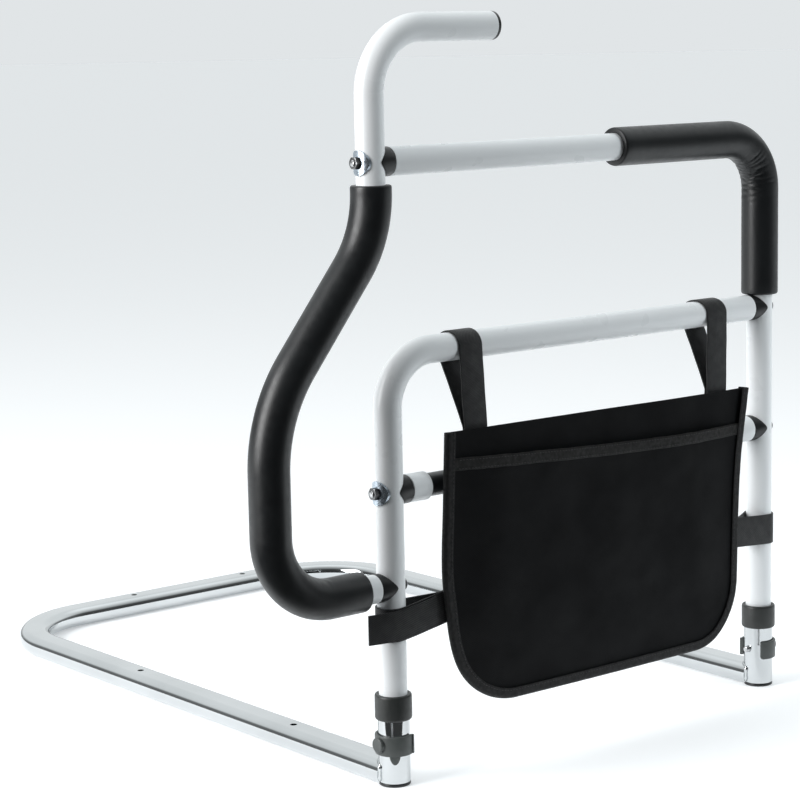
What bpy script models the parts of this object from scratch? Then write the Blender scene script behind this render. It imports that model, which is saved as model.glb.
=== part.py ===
"""A bed assist bar: a chromed floor loop, a plug-in hand rail with two foam grips, and a pouch.

Lengths are in metres. Pieces are placed from the left post's axis at floor level: X runs along the
rail to the right post, Y runs back under the mattress, and Z is up. The empty bar_origin then
centres the whole bar on the world's origin.
"""

import math

import bmesh
import bpy
from mathutils import Matrix, Vector

MM = 0.001
QUARTER_TURN = math.pi / 2

# Clearance between pieces that touch, and between bolts and their holes
GAP = 0.3 * MM

# Overall sizes. Each bar's height is given above the one below it, up from the handle's return run.
POST_SPACING = 475.5 * MM
LOOP_DEPTH = 712.0 * MM
RETURN_HEIGHT = 180.0 * MM
RETURN_TO_MID_BAR = 84.3 * MM
MID_TO_LOWER_BAR = 120.6 * MM
LOWER_TO_UPPER_BAR = 166.4 * MM
UPPER_BAR_TO_GRIP = 113.2 * MM
MID_BAR_HEIGHT = RETURN_HEIGHT + RETURN_TO_MID_BAR
LOWER_BAR_HEIGHT = MID_BAR_HEIGHT + MID_TO_LOWER_BAR
UPPER_BAR_HEIGHT = LOWER_BAR_HEIGHT + LOWER_TO_UPPER_BAR
GRIP_HEIGHT = UPPER_BAR_HEIGHT + UPPER_BAR_TO_GRIP

# White tubes of the hand rail
TUBE_RADIUS = 12.7 * MM
TUBE_WALL = 1.6 * MM
TUBE_BORE = TUBE_RADIUS - TUBE_WALL
TUBE_SIDES = 20
BEND_STEPS = 6
ARCH_BEND_RADIUS = 49.0 * MM
FRAME_BEND_RADIUS = 50.0 * MM

# Foam grips
FOAM_THICKNESS = 5.0 * MM
FOAM_RADIUS = TUBE_RADIUS + GAP + FOAM_THICKNESS
FOAM_END_STEPS = ((1.2 * MM, 3.0 * MM), (2.8 * MM, 0.9 * MM))
SIDE_FOAM_BELOW_BAR = 19.3 * MM
SIDE_FOAM_TOP = UPPER_BAR_HEIGHT - SIDE_FOAM_BELOW_BAR
SIDE_FOAM_END = 33.0 * MM
TOP_FOAM_RUN = 200.0 * MM
TOP_FOAM_START = POST_SPACING - TOP_FOAM_RUN
TOP_FOAM_END = LOWER_BAR_HEIGHT + TUBE_RADIUS + GAP

# Handle tube: a top grip, a drop, and a swept side handle that returns to the left post
HANDLE_OFFSET = 13.0 * MM
HANDLE_X = -HANDLE_OFFSET
GRIP_REACH = 140.6 * MM
GRIP_BEND_RADIUS = 57.0 * MM
SWEEP_BELOW_FOAM_TOP = 7.0 * MM
SWEEP_START = SIDE_FOAM_TOP - SWEEP_BELOW_FOAM_TOP
SWEEP_ANGLE = math.radians(38.9)
SWEEP_STEPS = 4
UPPER_SWEEP_RADIUS = 102.0 * MM
LOWER_SWEEP_RADIUS = 141.0 * MM
SWEEP_REACH = 115.5 * MM
SWEEP_BOTTOM_X = HANDLE_X - SWEEP_REACH
RETURN_BEND_RADIUS = 61.4 * MM
END_CAP_RIM = 3.0 * MM
END_CAP_PLUG = 12.0 * MM

# Mid crossbar: a thin dark tube in two white end sleeves
SLEEVE_WALL = 1.9 * MM
SLEEVE_LENGTH = 21.3 * MM
CROSSBAR_RADIUS = TUBE_RADIUS - SLEEVE_WALL - GAP
CROSSBAR_WALL = 1.5 * MM

# Plastic saddles between a bar's end and a post
SADDLE_BORE = TUBE_RADIUS + GAP
SADDLE_BACK = 5.4 * MM
SADDLE_SEAT = SADDLE_BORE + SADDLE_BACK
SADDLE_TIP = 4.5 * MM
BAR_END = SADDLE_SEAT + GAP

# Fasteners
BOLT_RADIUS = 3.0 * MM
BOLT_HOLE = BOLT_RADIUS + GAP
BOLT_SIDES = 12
INSERT_LENGTH = 18.0 * MM
BOLT_ENGAGEMENT = 15.0 * MM
HEAD_RADIUS = 6.25 * MM
HEAD_CROWN_RADIUS = 3.4 * MM
HEAD_SHOULDER_RADIUS = 5.5 * MM
HEAD_HEIGHT = 2.8 * MM
HEAD_CROWN_DROP = 0.3 * MM
HEAD_SHOULDER_DROP = 1.4 * MM
WASHER_RADIUS = 10.8 * MM
WASHER_THICKNESS = 1.6 * MM
NUT_FLATS = 10.0 * MM
NUT_HEIGHT = 5.0 * MM
STUD_PROUD = 2.5 * MM

# Sockets that the posts plug into
STUB_CLEARANCE = 0.4 * MM
STUB_WALL = 1.2 * MM
STUB_BORE = TUBE_RADIUS + STUB_CLEARANCE
STUB_RADIUS = STUB_BORE + STUB_WALL
STUB_BOTTOM = 3.0 * MM
STUB_TOP = 79.6 * MM
PLUG_RIM_EDGE = 0.6 * MM
PLUG_BODY = 2.6 * MM
PLUG_TOP = STUB_BOTTOM + PLUG_BODY
POST_FOOT_CLEARANCE = 0.4 * MM
POST_FOOT = PLUG_TOP + POST_FOOT_CLEARANCE
COLLAR_SEAT = STUB_RADIUS + GAP
COLLAR_WALL = 2.0 * MM
COLLAR_RADIUS = COLLAR_SEAT + COLLAR_WALL
COLLAR_LENGTH = 22.9 * MM
COLLAR_LIP = 3.0 * MM
COLLAR_TOP = STUB_TOP + GAP + COLLAR_LIP
COLLAR_BOTTOM = COLLAR_TOP - COLLAR_LENGTH
COLLAR_EDGE = 1.6 * MM
COLLAR_RUNNING_GAP = 0.5 * MM

# Floor loop: a flat-oval tube lying on the floor
LOOP_SIDE_BEYOND_STUB = 2.7 * MM
LOOP_WIDTH = 2 * (STUB_RADIUS + LOOP_SIDE_BEYOND_STUB)
LOOP_HEIGHT = 21.0 * MM
LOOP_CORNER = 9.5 * MM
LOOP_CORNER_STEPS = 3
LOOP_WALL = 1.8 * MM
LOOP_BEND_RADIUS = 100.0 * MM
FAR_BAR_Y = LOOP_DEPTH - LOOP_WIDTH / 2
ARM_START = 4.0 * MM
LOOP_HOLE_RADIUS = 3.25 * MM
FIRST_ARM_HOLE = 150.0 * MM
SECOND_ARM_HOLE_FROM_FAR_BAR = 284.0 * MM
FAR_HOLE_FROM_LEFT_POST = 176.0 * MM
FAR_HOLE_FROM_RIGHT_POST = 145.5 * MM

# Lock pins; a post has one hole for each height setting
HEIGHT_STEP = 12.7 * MM
HEIGHT_SETTINGS = 3
PIN_RADIUS = 3.0 * MM
PIN_HOLE = PIN_RADIUS + GAP
PIN_TIP_REACH = 4.7 * MM
PIN_TIP_BEVEL = 0.8 * MM
LOWEST_HOLE_EDGE = 3.8 * MM
PIN_ABOVE_LOOP = 17.5 * MM

# The pin is high enough for its clip to clear the loop, and for the lowest hole to lie in the post.
LOWEST_HOLE = POST_FOOT + LOWEST_HOLE_EDGE + PIN_HOLE
PIN_HEIGHT = max(LOOP_HEIGHT + PIN_ABOVE_LOOP, LOWEST_HOLE + HEIGHT_STEP * (HEIGHT_SETTINGS - 1))
PIN_HOLE_HEIGHTS = [PIN_HEIGHT - HEIGHT_STEP * setting for setting in range(HEIGHT_SETTINGS)]

# Lock clips, with heights above and below their pins
CLIP_WALL = 2.6 * MM
CLIP_INNER_RADIUS = STUB_RADIUS + GAP
CLIP_OUTER_RADIUS = CLIP_INNER_RADIUS + CLIP_WALL
CLIP_BELOW_PIN = 9.7 * MM
CLIP_ABOVE_PIN = 8.3 * MM
CLIP_HALF_ANGLE = math.radians(128.0)
CLIP_STEPS = 16
BOSS_RADIUS = 6.8 * MM
BOSS_PROUD = 2.8 * MM
BOSS_FACE = CLIP_OUTER_RADIUS + BOSS_PROUD
BOSS_WALL = 1.1 * MM
TONGUE_ANGLE = math.radians(53.0)
TONGUE_WIDTH = 9.5 * MM
TONGUE_BELOW_PIN = 17.1 * MM
TONGUE_TIP_WIDTH = 2.0 * MM
TONGUE_THICKNESS = 2.0 * MM
LIP_WIDTH = 3.0 * MM
LIP_PROUD = 1.2 * MM

# Saw slot in the top of each socket, from just above its pin
SLOT_WIDTH = 1.8 * MM
SLOT_ABOVE_PIN = 4.5 * MM
SLOT_ANGLE = math.radians(-136.0)

# Webbing straps, each looped round a bar or a post
HANGING_STRAP_WIDTH = 25.0 * MM
SIDE_STRAP_WIDTH = 30.0 * MM
STRAP_THICKNESS = 1.5 * MM
STRAP_RADIUS = TUBE_RADIUS + GAP + STRAP_THICKNESS / 2
STRAP_LAYER = STRAP_THICKNESS + GAP
STRAP_ARC_STEPS = 12
STRAP_KNEE_RADIUS = 5.0 * MM
KNEE_OUTSIDE_POUCH = 1.0 * MM
HANGING_STRAP_SEWN = 26.0 * MM
HANGING_STRAP_INSET = 37.0 * MM
RIGHT_HANGING_STRAP_INSET = 30.0 * MM
SIDE_STRAP_SEWN = 24.0 * MM
SIDE_STRAP_BELOW_RETURN = 37.7 * MM
SIDE_STRAP_LEFT_HEIGHT = RETURN_HEIGHT - SIDE_STRAP_BELOW_RETURN
RIGHT_STRAP_ABOVE_LEFT = 19.2 * MM
SIDE_STRAP_RIGHT_HEIGHT = SIDE_STRAP_LEFT_HEIGHT + RIGHT_STRAP_ABOVE_LEFT
SIDE_STRAP_LEFT_SLOPE = 0.30
SIDE_STRAP_RIGHT_SLOPE = 0.08

# Cloth pouch, hung from the lower bar in front of the mid crossbar
POUCH_FROM_LEFT_POST = 47.0 * MM
POUCH_FROM_RIGHT_POST = 45.5 * MM
POUCH_LEFT = POUCH_FROM_LEFT_POST
POUCH_RIGHT = POST_SPACING - POUCH_FROM_RIGHT_POST
POUCH_BELOW_BAR = 72.9 * MM
POUCH_TOP = LOWER_BAR_HEIGHT - POUCH_BELOW_BAR
POUCH_BELOW_SIDE_STRAP = 82.3 * MM
POUCH_BOTTOM = SIDE_STRAP_LEFT_HEIGHT - POUCH_BELOW_SIDE_STRAP
POUCH_CORNER = 75.0 * MM
POUCH_CORNER_STEPS = 6
BINDING_THICKNESS = 1.2 * MM
BINDING_DEPTH = 8.0 * MM
STRAP_TO_BINDING = 0.5 * MM
POUCH_BACK = STRAP_RADIUS + STRAP_THICKNESS / 2 + STRAP_TO_BINDING + BINDING_THICKNESS + GAP
PANEL_THICKNESS = 2.0 * MM
PANEL_FRONT = POUCH_BACK + PANEL_THICKNESS
POCKET_BACK = PANEL_FRONT + GAP
POCKET_THICKNESS = 1.5 * MM
POCKET_FRONT = POCKET_BACK + POCKET_THICKNESS
POCKET_BELOW_TOP = 28.0 * MM
POCKET_TOP = POUCH_TOP - POCKET_BELOW_TOP
SEAM_INSIDE_BINDING = 2.0 * MM
POCKET_SEAM = BINDING_DEPTH + SEAM_INSIDE_BINDING
POCKET_SWELL = 8.0 * MM
POCKET_SWELL_REACH = 60.0 * MM

# Columns and rows of the pocket's mesh, the columns as shares of each row's half width
POCKET_COLUMNS = (0.0, 0.08, 0.24, 0.6)
POCKET_SIDE_ROWS = 3

MERGE_DISTANCE = 0.01 * MM
SHARP_ANGLE = math.radians(35)
LONG_CUT = 60.0 * MM


def clear_scene():
    for leftover in list(bpy.data.objects):
        bpy.data.objects.remove(leftover)


def finish(name, colour, roughness, metallic=0.0):
    """A plain material of one colour, given as linear red, green and blue."""
    material = bpy.data.materials.new(name)
    material.use_nodes = True
    shader = material.node_tree.nodes["Principled BSDF"]
    shader.inputs["Base Color"].default_value = (*colour, 1.0)
    shader.inputs["Roughness"].default_value = roughness
    shader.inputs["Metallic"].default_value = metallic
    return material


def empty(name, location, parent=None):
    marker = bpy.data.objects.new(name, None)
    marker.location = location
    marker.parent = parent
    bpy.context.scene.collection.objects.link(marker)
    return marker


def add_piece(name, bm, material, parent, location=(0, 0, 0), rotation=(0, 0, 0)):
    """Turn a bmesh into a named object with its faces pointing out."""
    bmesh.ops.recalc_face_normals(bm, faces=bm.faces)
    mesh = bpy.data.meshes.new(name)
    bm.to_mesh(mesh)
    bm.free()
    mesh.shade_smooth()
    mesh.set_sharp_from_angle(angle=SHARP_ANGLE)
    piece = bpy.data.objects.new(name, mesh)
    piece.location = location
    piece.rotation_euler = rotation
    piece.parent = parent
    if material is not None:
        mesh.materials.append(material)
    bpy.context.scene.collection.objects.link(piece)
    return piece


def combine(piece, name, bm, parent, operation="DIFFERENCE", location=(0, 0, 0), rotation=(0, 0, 0)):
    """Cut a shape from a piece, or join or intersect it, with the shape kept as a hidden guide."""
    guide = add_piece(name, bm, None, parent, location, rotation)
    guide.hide_render = True
    guide.display_type = "WIRE"
    boolean = piece.modifiers.new(name, "BOOLEAN")
    boolean.operation = operation
    boolean.object = guide


def circle(radius, sides=TUBE_SIDES):
    turns = [2 * math.pi * side / sides for side in range(sides)]
    return [(radius * math.cos(turn), radius * math.sin(turn)) for turn in turns]


def rounded_box(width, height, radius, steps):
    """The outline of a box with round corners, anticlockwise from its upper right corner."""
    points = []
    for quarter, (side, rise) in enumerate(((1, 1), (-1, 1), (-1, -1), (1, -1))):
        for step in range(steps + 1):
            turn = QUARTER_TURN * (quarter + step / steps)
            across = side * (width / 2 - radius) + radius * math.cos(turn)
            square = rise * (height / 2 - radius) + radius * math.sin(turn)
            points.append((across, square))
    return points


def frame_at(point, along, across):
    """A station on a route: its local Z runs along the route, and its local X is across."""
    along = Vector(along)
    across = Vector(across)
    square = along.cross(across)
    axes = Matrix((across, square, along)).transposed()
    return Matrix.Translation(point) @ axes.to_4x4()


def go_straight(stations, length):
    stations.append(stations[-1] @ Matrix.Translation((0, 0, length)))


def go_round(stations, radius, angle, steps=BEND_STEPS):
    """Bend toward the station's own X, or away from it with a negative angle."""
    side = 1 if angle > 0 else -1
    centre = stations[-1] @ Matrix.Translation((side * radius, 0, 0))
    for step in range(1, steps + 1):
        turn = Matrix.Rotation(angle * step / steps, 4, "Y")
        stations.append(centre @ turn @ Matrix.Translation((-side * radius, 0, 0)))


def swept_wall(bm, outline, stations):
    """Extrude an outline through the stations and return its first and last rings of corners."""
    first = [bm.verts.new(stations[0] @ Vector((across, square, 0))) for across, square in outline]
    edges = [bm.edges.new(pair) for pair in zip(first, first[1:] + first[:1])]
    ring = first
    for before, after in zip(stations, stations[1:]):
        grown = bmesh.ops.extrude_edge_only(bm, edges=edges)["geom"]
        moved = {part for part in grown if isinstance(part, bmesh.types.BMVert)}
        new_edges = [part for part in grown if isinstance(part, bmesh.types.BMEdge)]
        edges = [edge for edge in new_edges if moved.issuperset(edge.verts)]
        ring = [moved.intersection(neighbours(corner)).pop() for corner in ring]
        bmesh.ops.transform(bm, matrix=after @ before.inverted(), verts=list(moved))
    return first, ring


def neighbours(corner):
    return [edge.other_vert(corner) for edge in corner.link_edges]


def swept_tube(outer, bore, stations, outer_stations=None):
    """A hollow length with open ends; outer_stations may swell or narrow its outside."""
    bm = bmesh.new()
    outside = swept_wall(bm, outer, outer_stations or stations)
    inside = swept_wall(bm, bore, stations)
    for outer_ring, inner_ring in zip(outside, inside):
        for now in range(len(outer_ring)):
            before = now - 1
            bm.faces.new((outer_ring[before], outer_ring[now], inner_ring[now], inner_ring[before]))
    return bm


def swept_bar(outline, stations):
    """A solid length with flat ends."""
    bm = bmesh.new()
    for ring in swept_wall(bm, outline, stations):
        bm.faces.new(ring)
    return bm


def turned(outline, sides=TUBE_SIDES, angle=2 * math.pi, start=0.0):
    """Turn an outline of (radius, height) points round Z; one that starts off the axis is a ring."""
    bm = bmesh.new()
    points = [
        bm.verts.new((radius * math.cos(start), radius * math.sin(start), height))
        for radius, height in outline
    ]
    edges = [bm.edges.new(pair) for pair in zip(points, points[1:])]
    if outline[0][0] > 0:
        edges.append(bm.edges.new((points[-1], points[0])))
    full = angle > 2 * math.pi - MERGE_DISTANCE
    bmesh.ops.spin(
        bm, geom=points + edges, cent=(0, 0, 0), axis=(0, 0, 1), angle=angle, steps=sides, use_merge=full
    )
    if not full:
        bmesh.ops.holes_fill(bm, edges=bm.edges, sides=len(outline))
    bmesh.ops.remove_doubles(bm, verts=bm.verts, dist=MERGE_DISTANCE)
    return bm


def rod_along_x(bm, radius, start, end, height=0.0, x=0.0, sides=BOLT_SIDES):
    """Add a round rod from start to end, measured along X from x."""
    middle = Matrix.Translation((x + (start + end) / 2, 0, height))
    bmesh.ops.create_cone(
        bm,
        cap_ends=True,
        segments=sides,
        radius1=radius,
        radius2=radius,
        depth=abs(end - start),
        matrix=middle @ Matrix.Rotation(QUARTER_TURN, 4, "Y"),
    )


def upright_rod(bm, radius, bottom, top, x=0.0, y=0.0, sides=TUBE_SIDES):
    bmesh.ops.create_cone(
        bm,
        cap_ends=True,
        segments=sides,
        radius1=radius,
        radius2=radius,
        depth=top - bottom,
        matrix=Matrix.Translation((x, y, (bottom + top) / 2)),
    )


def drill_along_x(tube, parent, x, heights, radius=BOLT_HOLE):
    """Drill a tube from side to side at each height."""
    drills = bmesh.new()
    for height in heights:
        rod_along_x(drills, radius, -LONG_CUT / 2, LONG_CUT / 2, height, x)
    combine(tube, f"{tube.name}_holes", drills, parent)


def along_x(side):
    """The rotation that lays a turned piece's own Z along +X or -X."""
    return (0, side * QUARTER_TURN, 0)


# Floor loop and sockets


def make_base_loop(parent, chrome):
    outer = rounded_box(LOOP_WIDTH, LOOP_HEIGHT, LOOP_CORNER, LOOP_CORNER_STEPS)
    bore = rounded_box(
        LOOP_WIDTH - 2 * LOOP_WALL, LOOP_HEIGHT - 2 * LOOP_WALL, LOOP_CORNER - LOOP_WALL, LOOP_CORNER_STEPS
    )
    arm = FAR_BAR_Y - LOOP_BEND_RADIUS - ARM_START
    stations = [frame_at((0, ARM_START, LOOP_HEIGHT / 2), (0, 1, 0), (1, 0, 0))]
    go_straight(stations, arm)
    go_round(stations, LOOP_BEND_RADIUS, QUARTER_TURN)
    go_straight(stations, POST_SPACING - 2 * LOOP_BEND_RADIUS)
    go_round(stations, LOOP_BEND_RADIUS, QUARTER_TURN)
    go_straight(stations, arm)
    loop = add_piece("base_loop", swept_tube(outer, bore, stations), chrome, parent)

    copes = bmesh.new()
    for x in (0, POST_SPACING):
        upright_rod(copes, STUB_RADIUS + GAP, -LOOP_HEIGHT, 2 * LOOP_HEIGHT, x)
    combine(loop, "base_loop_copes", copes, parent)

    drills = bmesh.new()
    arm_holes = (FIRST_ARM_HOLE, FAR_BAR_Y - SECOND_ARM_HOLE_FROM_FAR_BAR)
    spots = [(x, y) for x in (0, POST_SPACING) for y in arm_holes]
    spots += [(FAR_HOLE_FROM_LEFT_POST, FAR_BAR_Y)]
    spots += [(POST_SPACING - FAR_HOLE_FROM_RIGHT_POST, FAR_BAR_Y)]
    for x, y in spots:
        upright_rod(drills, LOOP_HOLE_RADIUS, LOOP_HEIGHT / 2, 2 * LOOP_HEIGHT, x, y, BOLT_SIDES)
    combine(loop, "base_loop_holes", drills, parent)


def make_socket(side, x, parent, chrome, black_plastic, collar_plastic):
    outline = [
        (STUB_BORE, STUB_BOTTOM),
        (STUB_RADIUS, STUB_BOTTOM),
        (STUB_RADIUS, STUB_TOP),
        (STUB_BORE, STUB_TOP),
    ]
    stub = add_piece(f"socket_{side}", turned(outline), chrome, parent, (x, 0, 0))
    drill_along_x(stub, parent, x, [PIN_HEIGHT], PIN_HOLE)
    slot = bmesh.new()
    bmesh.ops.create_cube(slot, size=1)
    slot_bottom = PIN_HEIGHT + SLOT_ABOVE_PIN
    slot_height = 2 * (STUB_TOP - slot_bottom)
    bmesh.ops.scale(slot, vec=(STUB_RADIUS, SLOT_WIDTH, slot_height), verts=slot.verts)
    bmesh.ops.translate(slot, vec=(STUB_RADIUS, 0, slot_bottom + slot_height / 2), verts=slot.verts)
    combine(stub, f"socket_{side}_slot", slot, parent, location=(x, 0, 0), rotation=(0, 0, SLOT_ANGLE))

    rim = STUB_BOTTOM - GAP
    body = STUB_BORE - GAP
    outline = [
        (0, 0),
        (STUB_RADIUS - PLUG_RIM_EDGE, 0),
        (STUB_RADIUS, PLUG_RIM_EDGE),
        (STUB_RADIUS, rim),
        (body, rim),
        (body, PLUG_TOP),
        (0, PLUG_TOP),
    ]
    add_piece(f"floor_plug_{side}", turned(outline), black_plastic, parent, (x, 0, 0))

    throat = TUBE_RADIUS + COLLAR_RUNNING_GAP
    ledge = STUB_TOP + GAP
    outline = [
        (COLLAR_SEAT, COLLAR_BOTTOM),
        (COLLAR_RADIUS - COLLAR_EDGE, COLLAR_BOTTOM),
        (COLLAR_RADIUS, COLLAR_BOTTOM + COLLAR_EDGE),
        (COLLAR_RADIUS, COLLAR_TOP - COLLAR_EDGE),
        (COLLAR_RADIUS - COLLAR_EDGE, COLLAR_TOP),
        (throat, COLLAR_TOP),
        (throat, ledge),
        (COLLAR_SEAT, ledge),
    ]
    add_piece(f"collar_{side}", turned(outline), collar_plastic, parent, (x, 0, 0))


# Lock clips and pins


def make_lock(side, slide, heading, clip_plastic, steel):
    """A clip and its pin, drawn with the boss toward -X and turned to face its own way."""
    rotation = (0, 0, heading)
    strap_outline = [
        (CLIP_INNER_RADIUS, -CLIP_BELOW_PIN),
        (CLIP_OUTER_RADIUS, -CLIP_BELOW_PIN),
        (CLIP_OUTER_RADIUS, CLIP_ABOVE_PIN),
        (CLIP_INNER_RADIUS, CLIP_ABOVE_PIN),
    ]
    strap = turned(strap_outline, CLIP_STEPS, 2 * CLIP_HALF_ANGLE, math.pi - CLIP_HALF_ANGLE)
    clip = add_piece(f"lock_clip_{side}", strap, clip_plastic, slide, rotation=rotation)

    boss = bmesh.new()
    rod_along_x(boss, BOSS_RADIUS, -BOSS_FACE, -CLIP_INNER_RADIUS - GAP, sides=TUBE_SIDES)
    combine(clip, f"lock_clip_{side}_boss", boss, slide, "UNION", rotation=rotation)

    tongue = bmesh.new()
    top = LIP_WIDTH - CLIP_BELOW_PIN
    corners = [
        (-TONGUE_WIDTH / 2, top),
        (TONGUE_WIDTH / 2, top),
        (TONGUE_TIP_WIDTH / 2, -TONGUE_BELOW_PIN),
        (-TONGUE_TIP_WIDTH / 2, -TONGUE_BELOW_PIN),
    ]
    inner = (CLIP_INNER_RADIUS + CLIP_OUTER_RADIUS - TONGUE_THICKNESS) / 2
    outline = [tongue.verts.new((inner, across, height)) for across, height in corners]
    face = tongue.faces.new(outline)
    grown = bmesh.ops.extrude_face_region(tongue, geom=[face], use_keep_orig=True)["geom"]
    moved = [part for part in grown if isinstance(part, bmesh.types.BMVert)]
    bmesh.ops.translate(tongue, vec=(TONGUE_THICKNESS, 0, 0), verts=moved)
    tongue_heading = heading + math.pi + TONGUE_ANGLE
    combine(clip, f"lock_clip_{side}_tongue", tongue, slide, "UNION", rotation=(0, 0, tongue_heading))

    lip = bmesh.new()
    bmesh.ops.create_cube(lip, size=1)
    lip_depth = LIP_PROUD + CLIP_WALL / 2
    lip_height = CLIP_ABOVE_PIN + CLIP_BELOW_PIN - 2 * GAP
    bmesh.ops.scale(lip, vec=(lip_depth, LIP_WIDTH, lip_height), verts=lip.verts)
    lip_x = CLIP_OUTER_RADIUS + LIP_PROUD - lip_depth / 2
    lip_z = (CLIP_ABOVE_PIN - CLIP_BELOW_PIN) / 2
    bmesh.ops.translate(lip, vec=(lip_x, 0, lip_z), verts=lip.verts)
    lip_heading = heading + math.pi + CLIP_HALF_ANGLE - LIP_WIDTH / 2 / CLIP_OUTER_RADIUS
    combine(clip, f"lock_clip_{side}_lip", lip, slide, "UNION", rotation=(0, 0, lip_heading))

    bore = bmesh.new()
    bore_end = BOSS_FACE - BOSS_WALL
    rod_along_x(bore, PIN_HOLE, -bore_end, 0)
    combine(clip, f"lock_clip_{side}_bore", bore, slide, rotation=rotation)

    pin_start = bore_end - GAP
    length = pin_start + STUB_RADIUS + PIN_TIP_REACH
    outline = [(0, 0), (PIN_RADIUS, 0), (PIN_RADIUS, length - PIN_TIP_BEVEL)]
    outline += [(PIN_RADIUS - PIN_TIP_BEVEL, length), (0, length)]
    toward = 1 if heading == 0 else -1
    start = (-toward * pin_start, 0, 0)
    add_piece(f"lock_pin_{side}", turned(outline, BOLT_SIDES), steel, slide, start, along_x(toward))


# Tubes of the hand rail


def round_tube(stations):
    return swept_tube(circle(TUBE_RADIUS), circle(TUBE_BORE), stations)


def make_arch_tube(rail, white):
    stations = [frame_at((0, 0, POST_FOOT), (0, 0, 1), (1, 0, 0))]
    go_straight(stations, LOWER_BAR_HEIGHT - ARCH_BEND_RADIUS - POST_FOOT)
    go_round(stations, ARCH_BEND_RADIUS, QUARTER_TURN)
    go_straight(stations, POST_SPACING - ARCH_BEND_RADIUS - BAR_END)
    tube = add_piece("arch_tube", round_tube(stations), white, rail)
    drill_along_x(tube, rail, 0, PIN_HOLE_HEIGHTS + [RETURN_HEIGHT, MID_BAR_HEIGHT])


def frame_bend_route(start_height):
    """Up the right post from a height, and round the bend toward the upper bar."""
    stations = [frame_at((POST_SPACING, 0, start_height), (0, 0, 1), (-1, 0, 0))]
    go_straight(stations, UPPER_BAR_HEIGHT - FRAME_BEND_RADIUS - start_height)
    go_round(stations, FRAME_BEND_RADIUS, QUARTER_TURN)
    return stations


def make_right_frame_tube(rail, white):
    stations = frame_bend_route(POST_FOOT)
    go_straight(stations, POST_SPACING - FRAME_BEND_RADIUS - BAR_END - HANDLE_X)
    tube = add_piece("right_frame_tube", round_tube(stations), white, rail)
    drill_along_x(tube, rail, POST_SPACING, PIN_HOLE_HEIGHTS + [MID_BAR_HEIGHT, LOWER_BAR_HEIGHT])


def sweep_to_return(stations, start_height, end_x):
    """From the drop, through the swept side handle, to the run that returns to the left post."""
    both_radii = UPPER_SWEEP_RADIUS + LOWER_SWEEP_RADIUS
    diagonal = (SWEEP_REACH - both_radii * (1 - math.cos(SWEEP_ANGLE))) / math.sin(SWEEP_ANGLE)
    swept_drop = both_radii * math.sin(SWEEP_ANGLE) + diagonal * math.cos(SWEEP_ANGLE)
    side_run = SWEEP_START - swept_drop - RETURN_BEND_RADIUS - RETURN_HEIGHT
    go_straight(stations, start_height - SWEEP_START)
    go_round(stations, UPPER_SWEEP_RADIUS, -SWEEP_ANGLE, SWEEP_STEPS)
    go_straight(stations, diagonal)
    go_round(stations, LOWER_SWEEP_RADIUS, SWEEP_ANGLE, SWEEP_STEPS)
    go_straight(stations, side_run)
    go_round(stations, RETURN_BEND_RADIUS, QUARTER_TURN)
    go_straight(stations, end_x - SWEEP_BOTTOM_X - RETURN_BEND_RADIUS)


def make_handle_tube(rail, white):
    tube_end = HANDLE_X + GRIP_REACH - END_CAP_RIM - GAP
    stations = [frame_at((tube_end, 0, GRIP_HEIGHT), (-1, 0, 0), (0, 0, -1))]
    go_straight(stations, tube_end - HANDLE_X - GRIP_BEND_RADIUS)
    go_round(stations, GRIP_BEND_RADIUS, QUARTER_TURN)
    sweep_to_return(stations, GRIP_HEIGHT - GRIP_BEND_RADIUS, -BAR_END)
    tube = add_piece("handle_tube", round_tube(stations), white, rail)
    drill_along_x(tube, rail, HANDLE_X, [UPPER_BAR_HEIGHT])


def make_handle_end_cap(rail, plastic):
    outline = [
        (0, 0),
        (TUBE_RADIUS - PLUG_RIM_EDGE, 0),
        (TUBE_RADIUS, PLUG_RIM_EDGE),
        (TUBE_RADIUS, END_CAP_RIM),
        (TUBE_BORE - GAP, END_CAP_RIM),
        (TUBE_BORE - GAP, END_CAP_RIM + END_CAP_PLUG),
        (0, END_CAP_RIM + END_CAP_PLUG),
    ]
    place = (HANDLE_X + GRIP_REACH, 0, GRIP_HEIGHT)
    add_piece("handle_end_cap", turned(outline), plastic, rail, place, along_x(-1))


def make_mid_crossbar(rail, dark_tube, white):
    stations = [frame_at((BAR_END, 0, MID_BAR_HEIGHT), (1, 0, 0), (0, 0, 1))]
    go_straight(stations, POST_SPACING - 2 * BAR_END)
    bar = swept_tube(circle(CROSSBAR_RADIUS), circle(CROSSBAR_RADIUS - CROSSBAR_WALL), stations)
    add_piece("mid_crossbar", bar, dark_tube, rail)
    bore = CROSSBAR_RADIUS + GAP
    outline = [(bore, 0), (TUBE_RADIUS, 0), (TUBE_RADIUS, SLEEVE_LENGTH), (bore, SLEEVE_LENGTH)]
    for side, x, toward in (("left", BAR_END, 1), ("right", POST_SPACING - BAR_END, -1)):
        place = (x, 0, MID_BAR_HEIGHT)
        add_piece(f"mid_sleeve_{side}", turned(outline), white, rail, place, along_x(toward))


# Foam grips


def foam_tube(middle_stations):
    """A foam sleeve over a tube, its outside rounded in at both ends."""
    head, tail = middle_stations[0], middle_stations[-1]
    stations = list(middle_stations)
    factors = [1.0] * len(stations)
    for inset, drawn_in in reversed(FOAM_END_STEPS):
        head = head @ Matrix.Translation((0, 0, -inset))
        tail = tail @ Matrix.Translation((0, 0, inset))
        stations = [head] + stations + [tail]
        factor = 1 - drawn_in / FOAM_RADIUS
        factors = [factor] + factors + [factor]
    swollen = [
        station @ Matrix.Diagonal((factor, factor, 1, 1)) for station, factor in zip(stations, factors)
    ]
    return swept_tube(circle(FOAM_RADIUS), circle(TUBE_RADIUS + GAP), stations, swollen)


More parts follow.
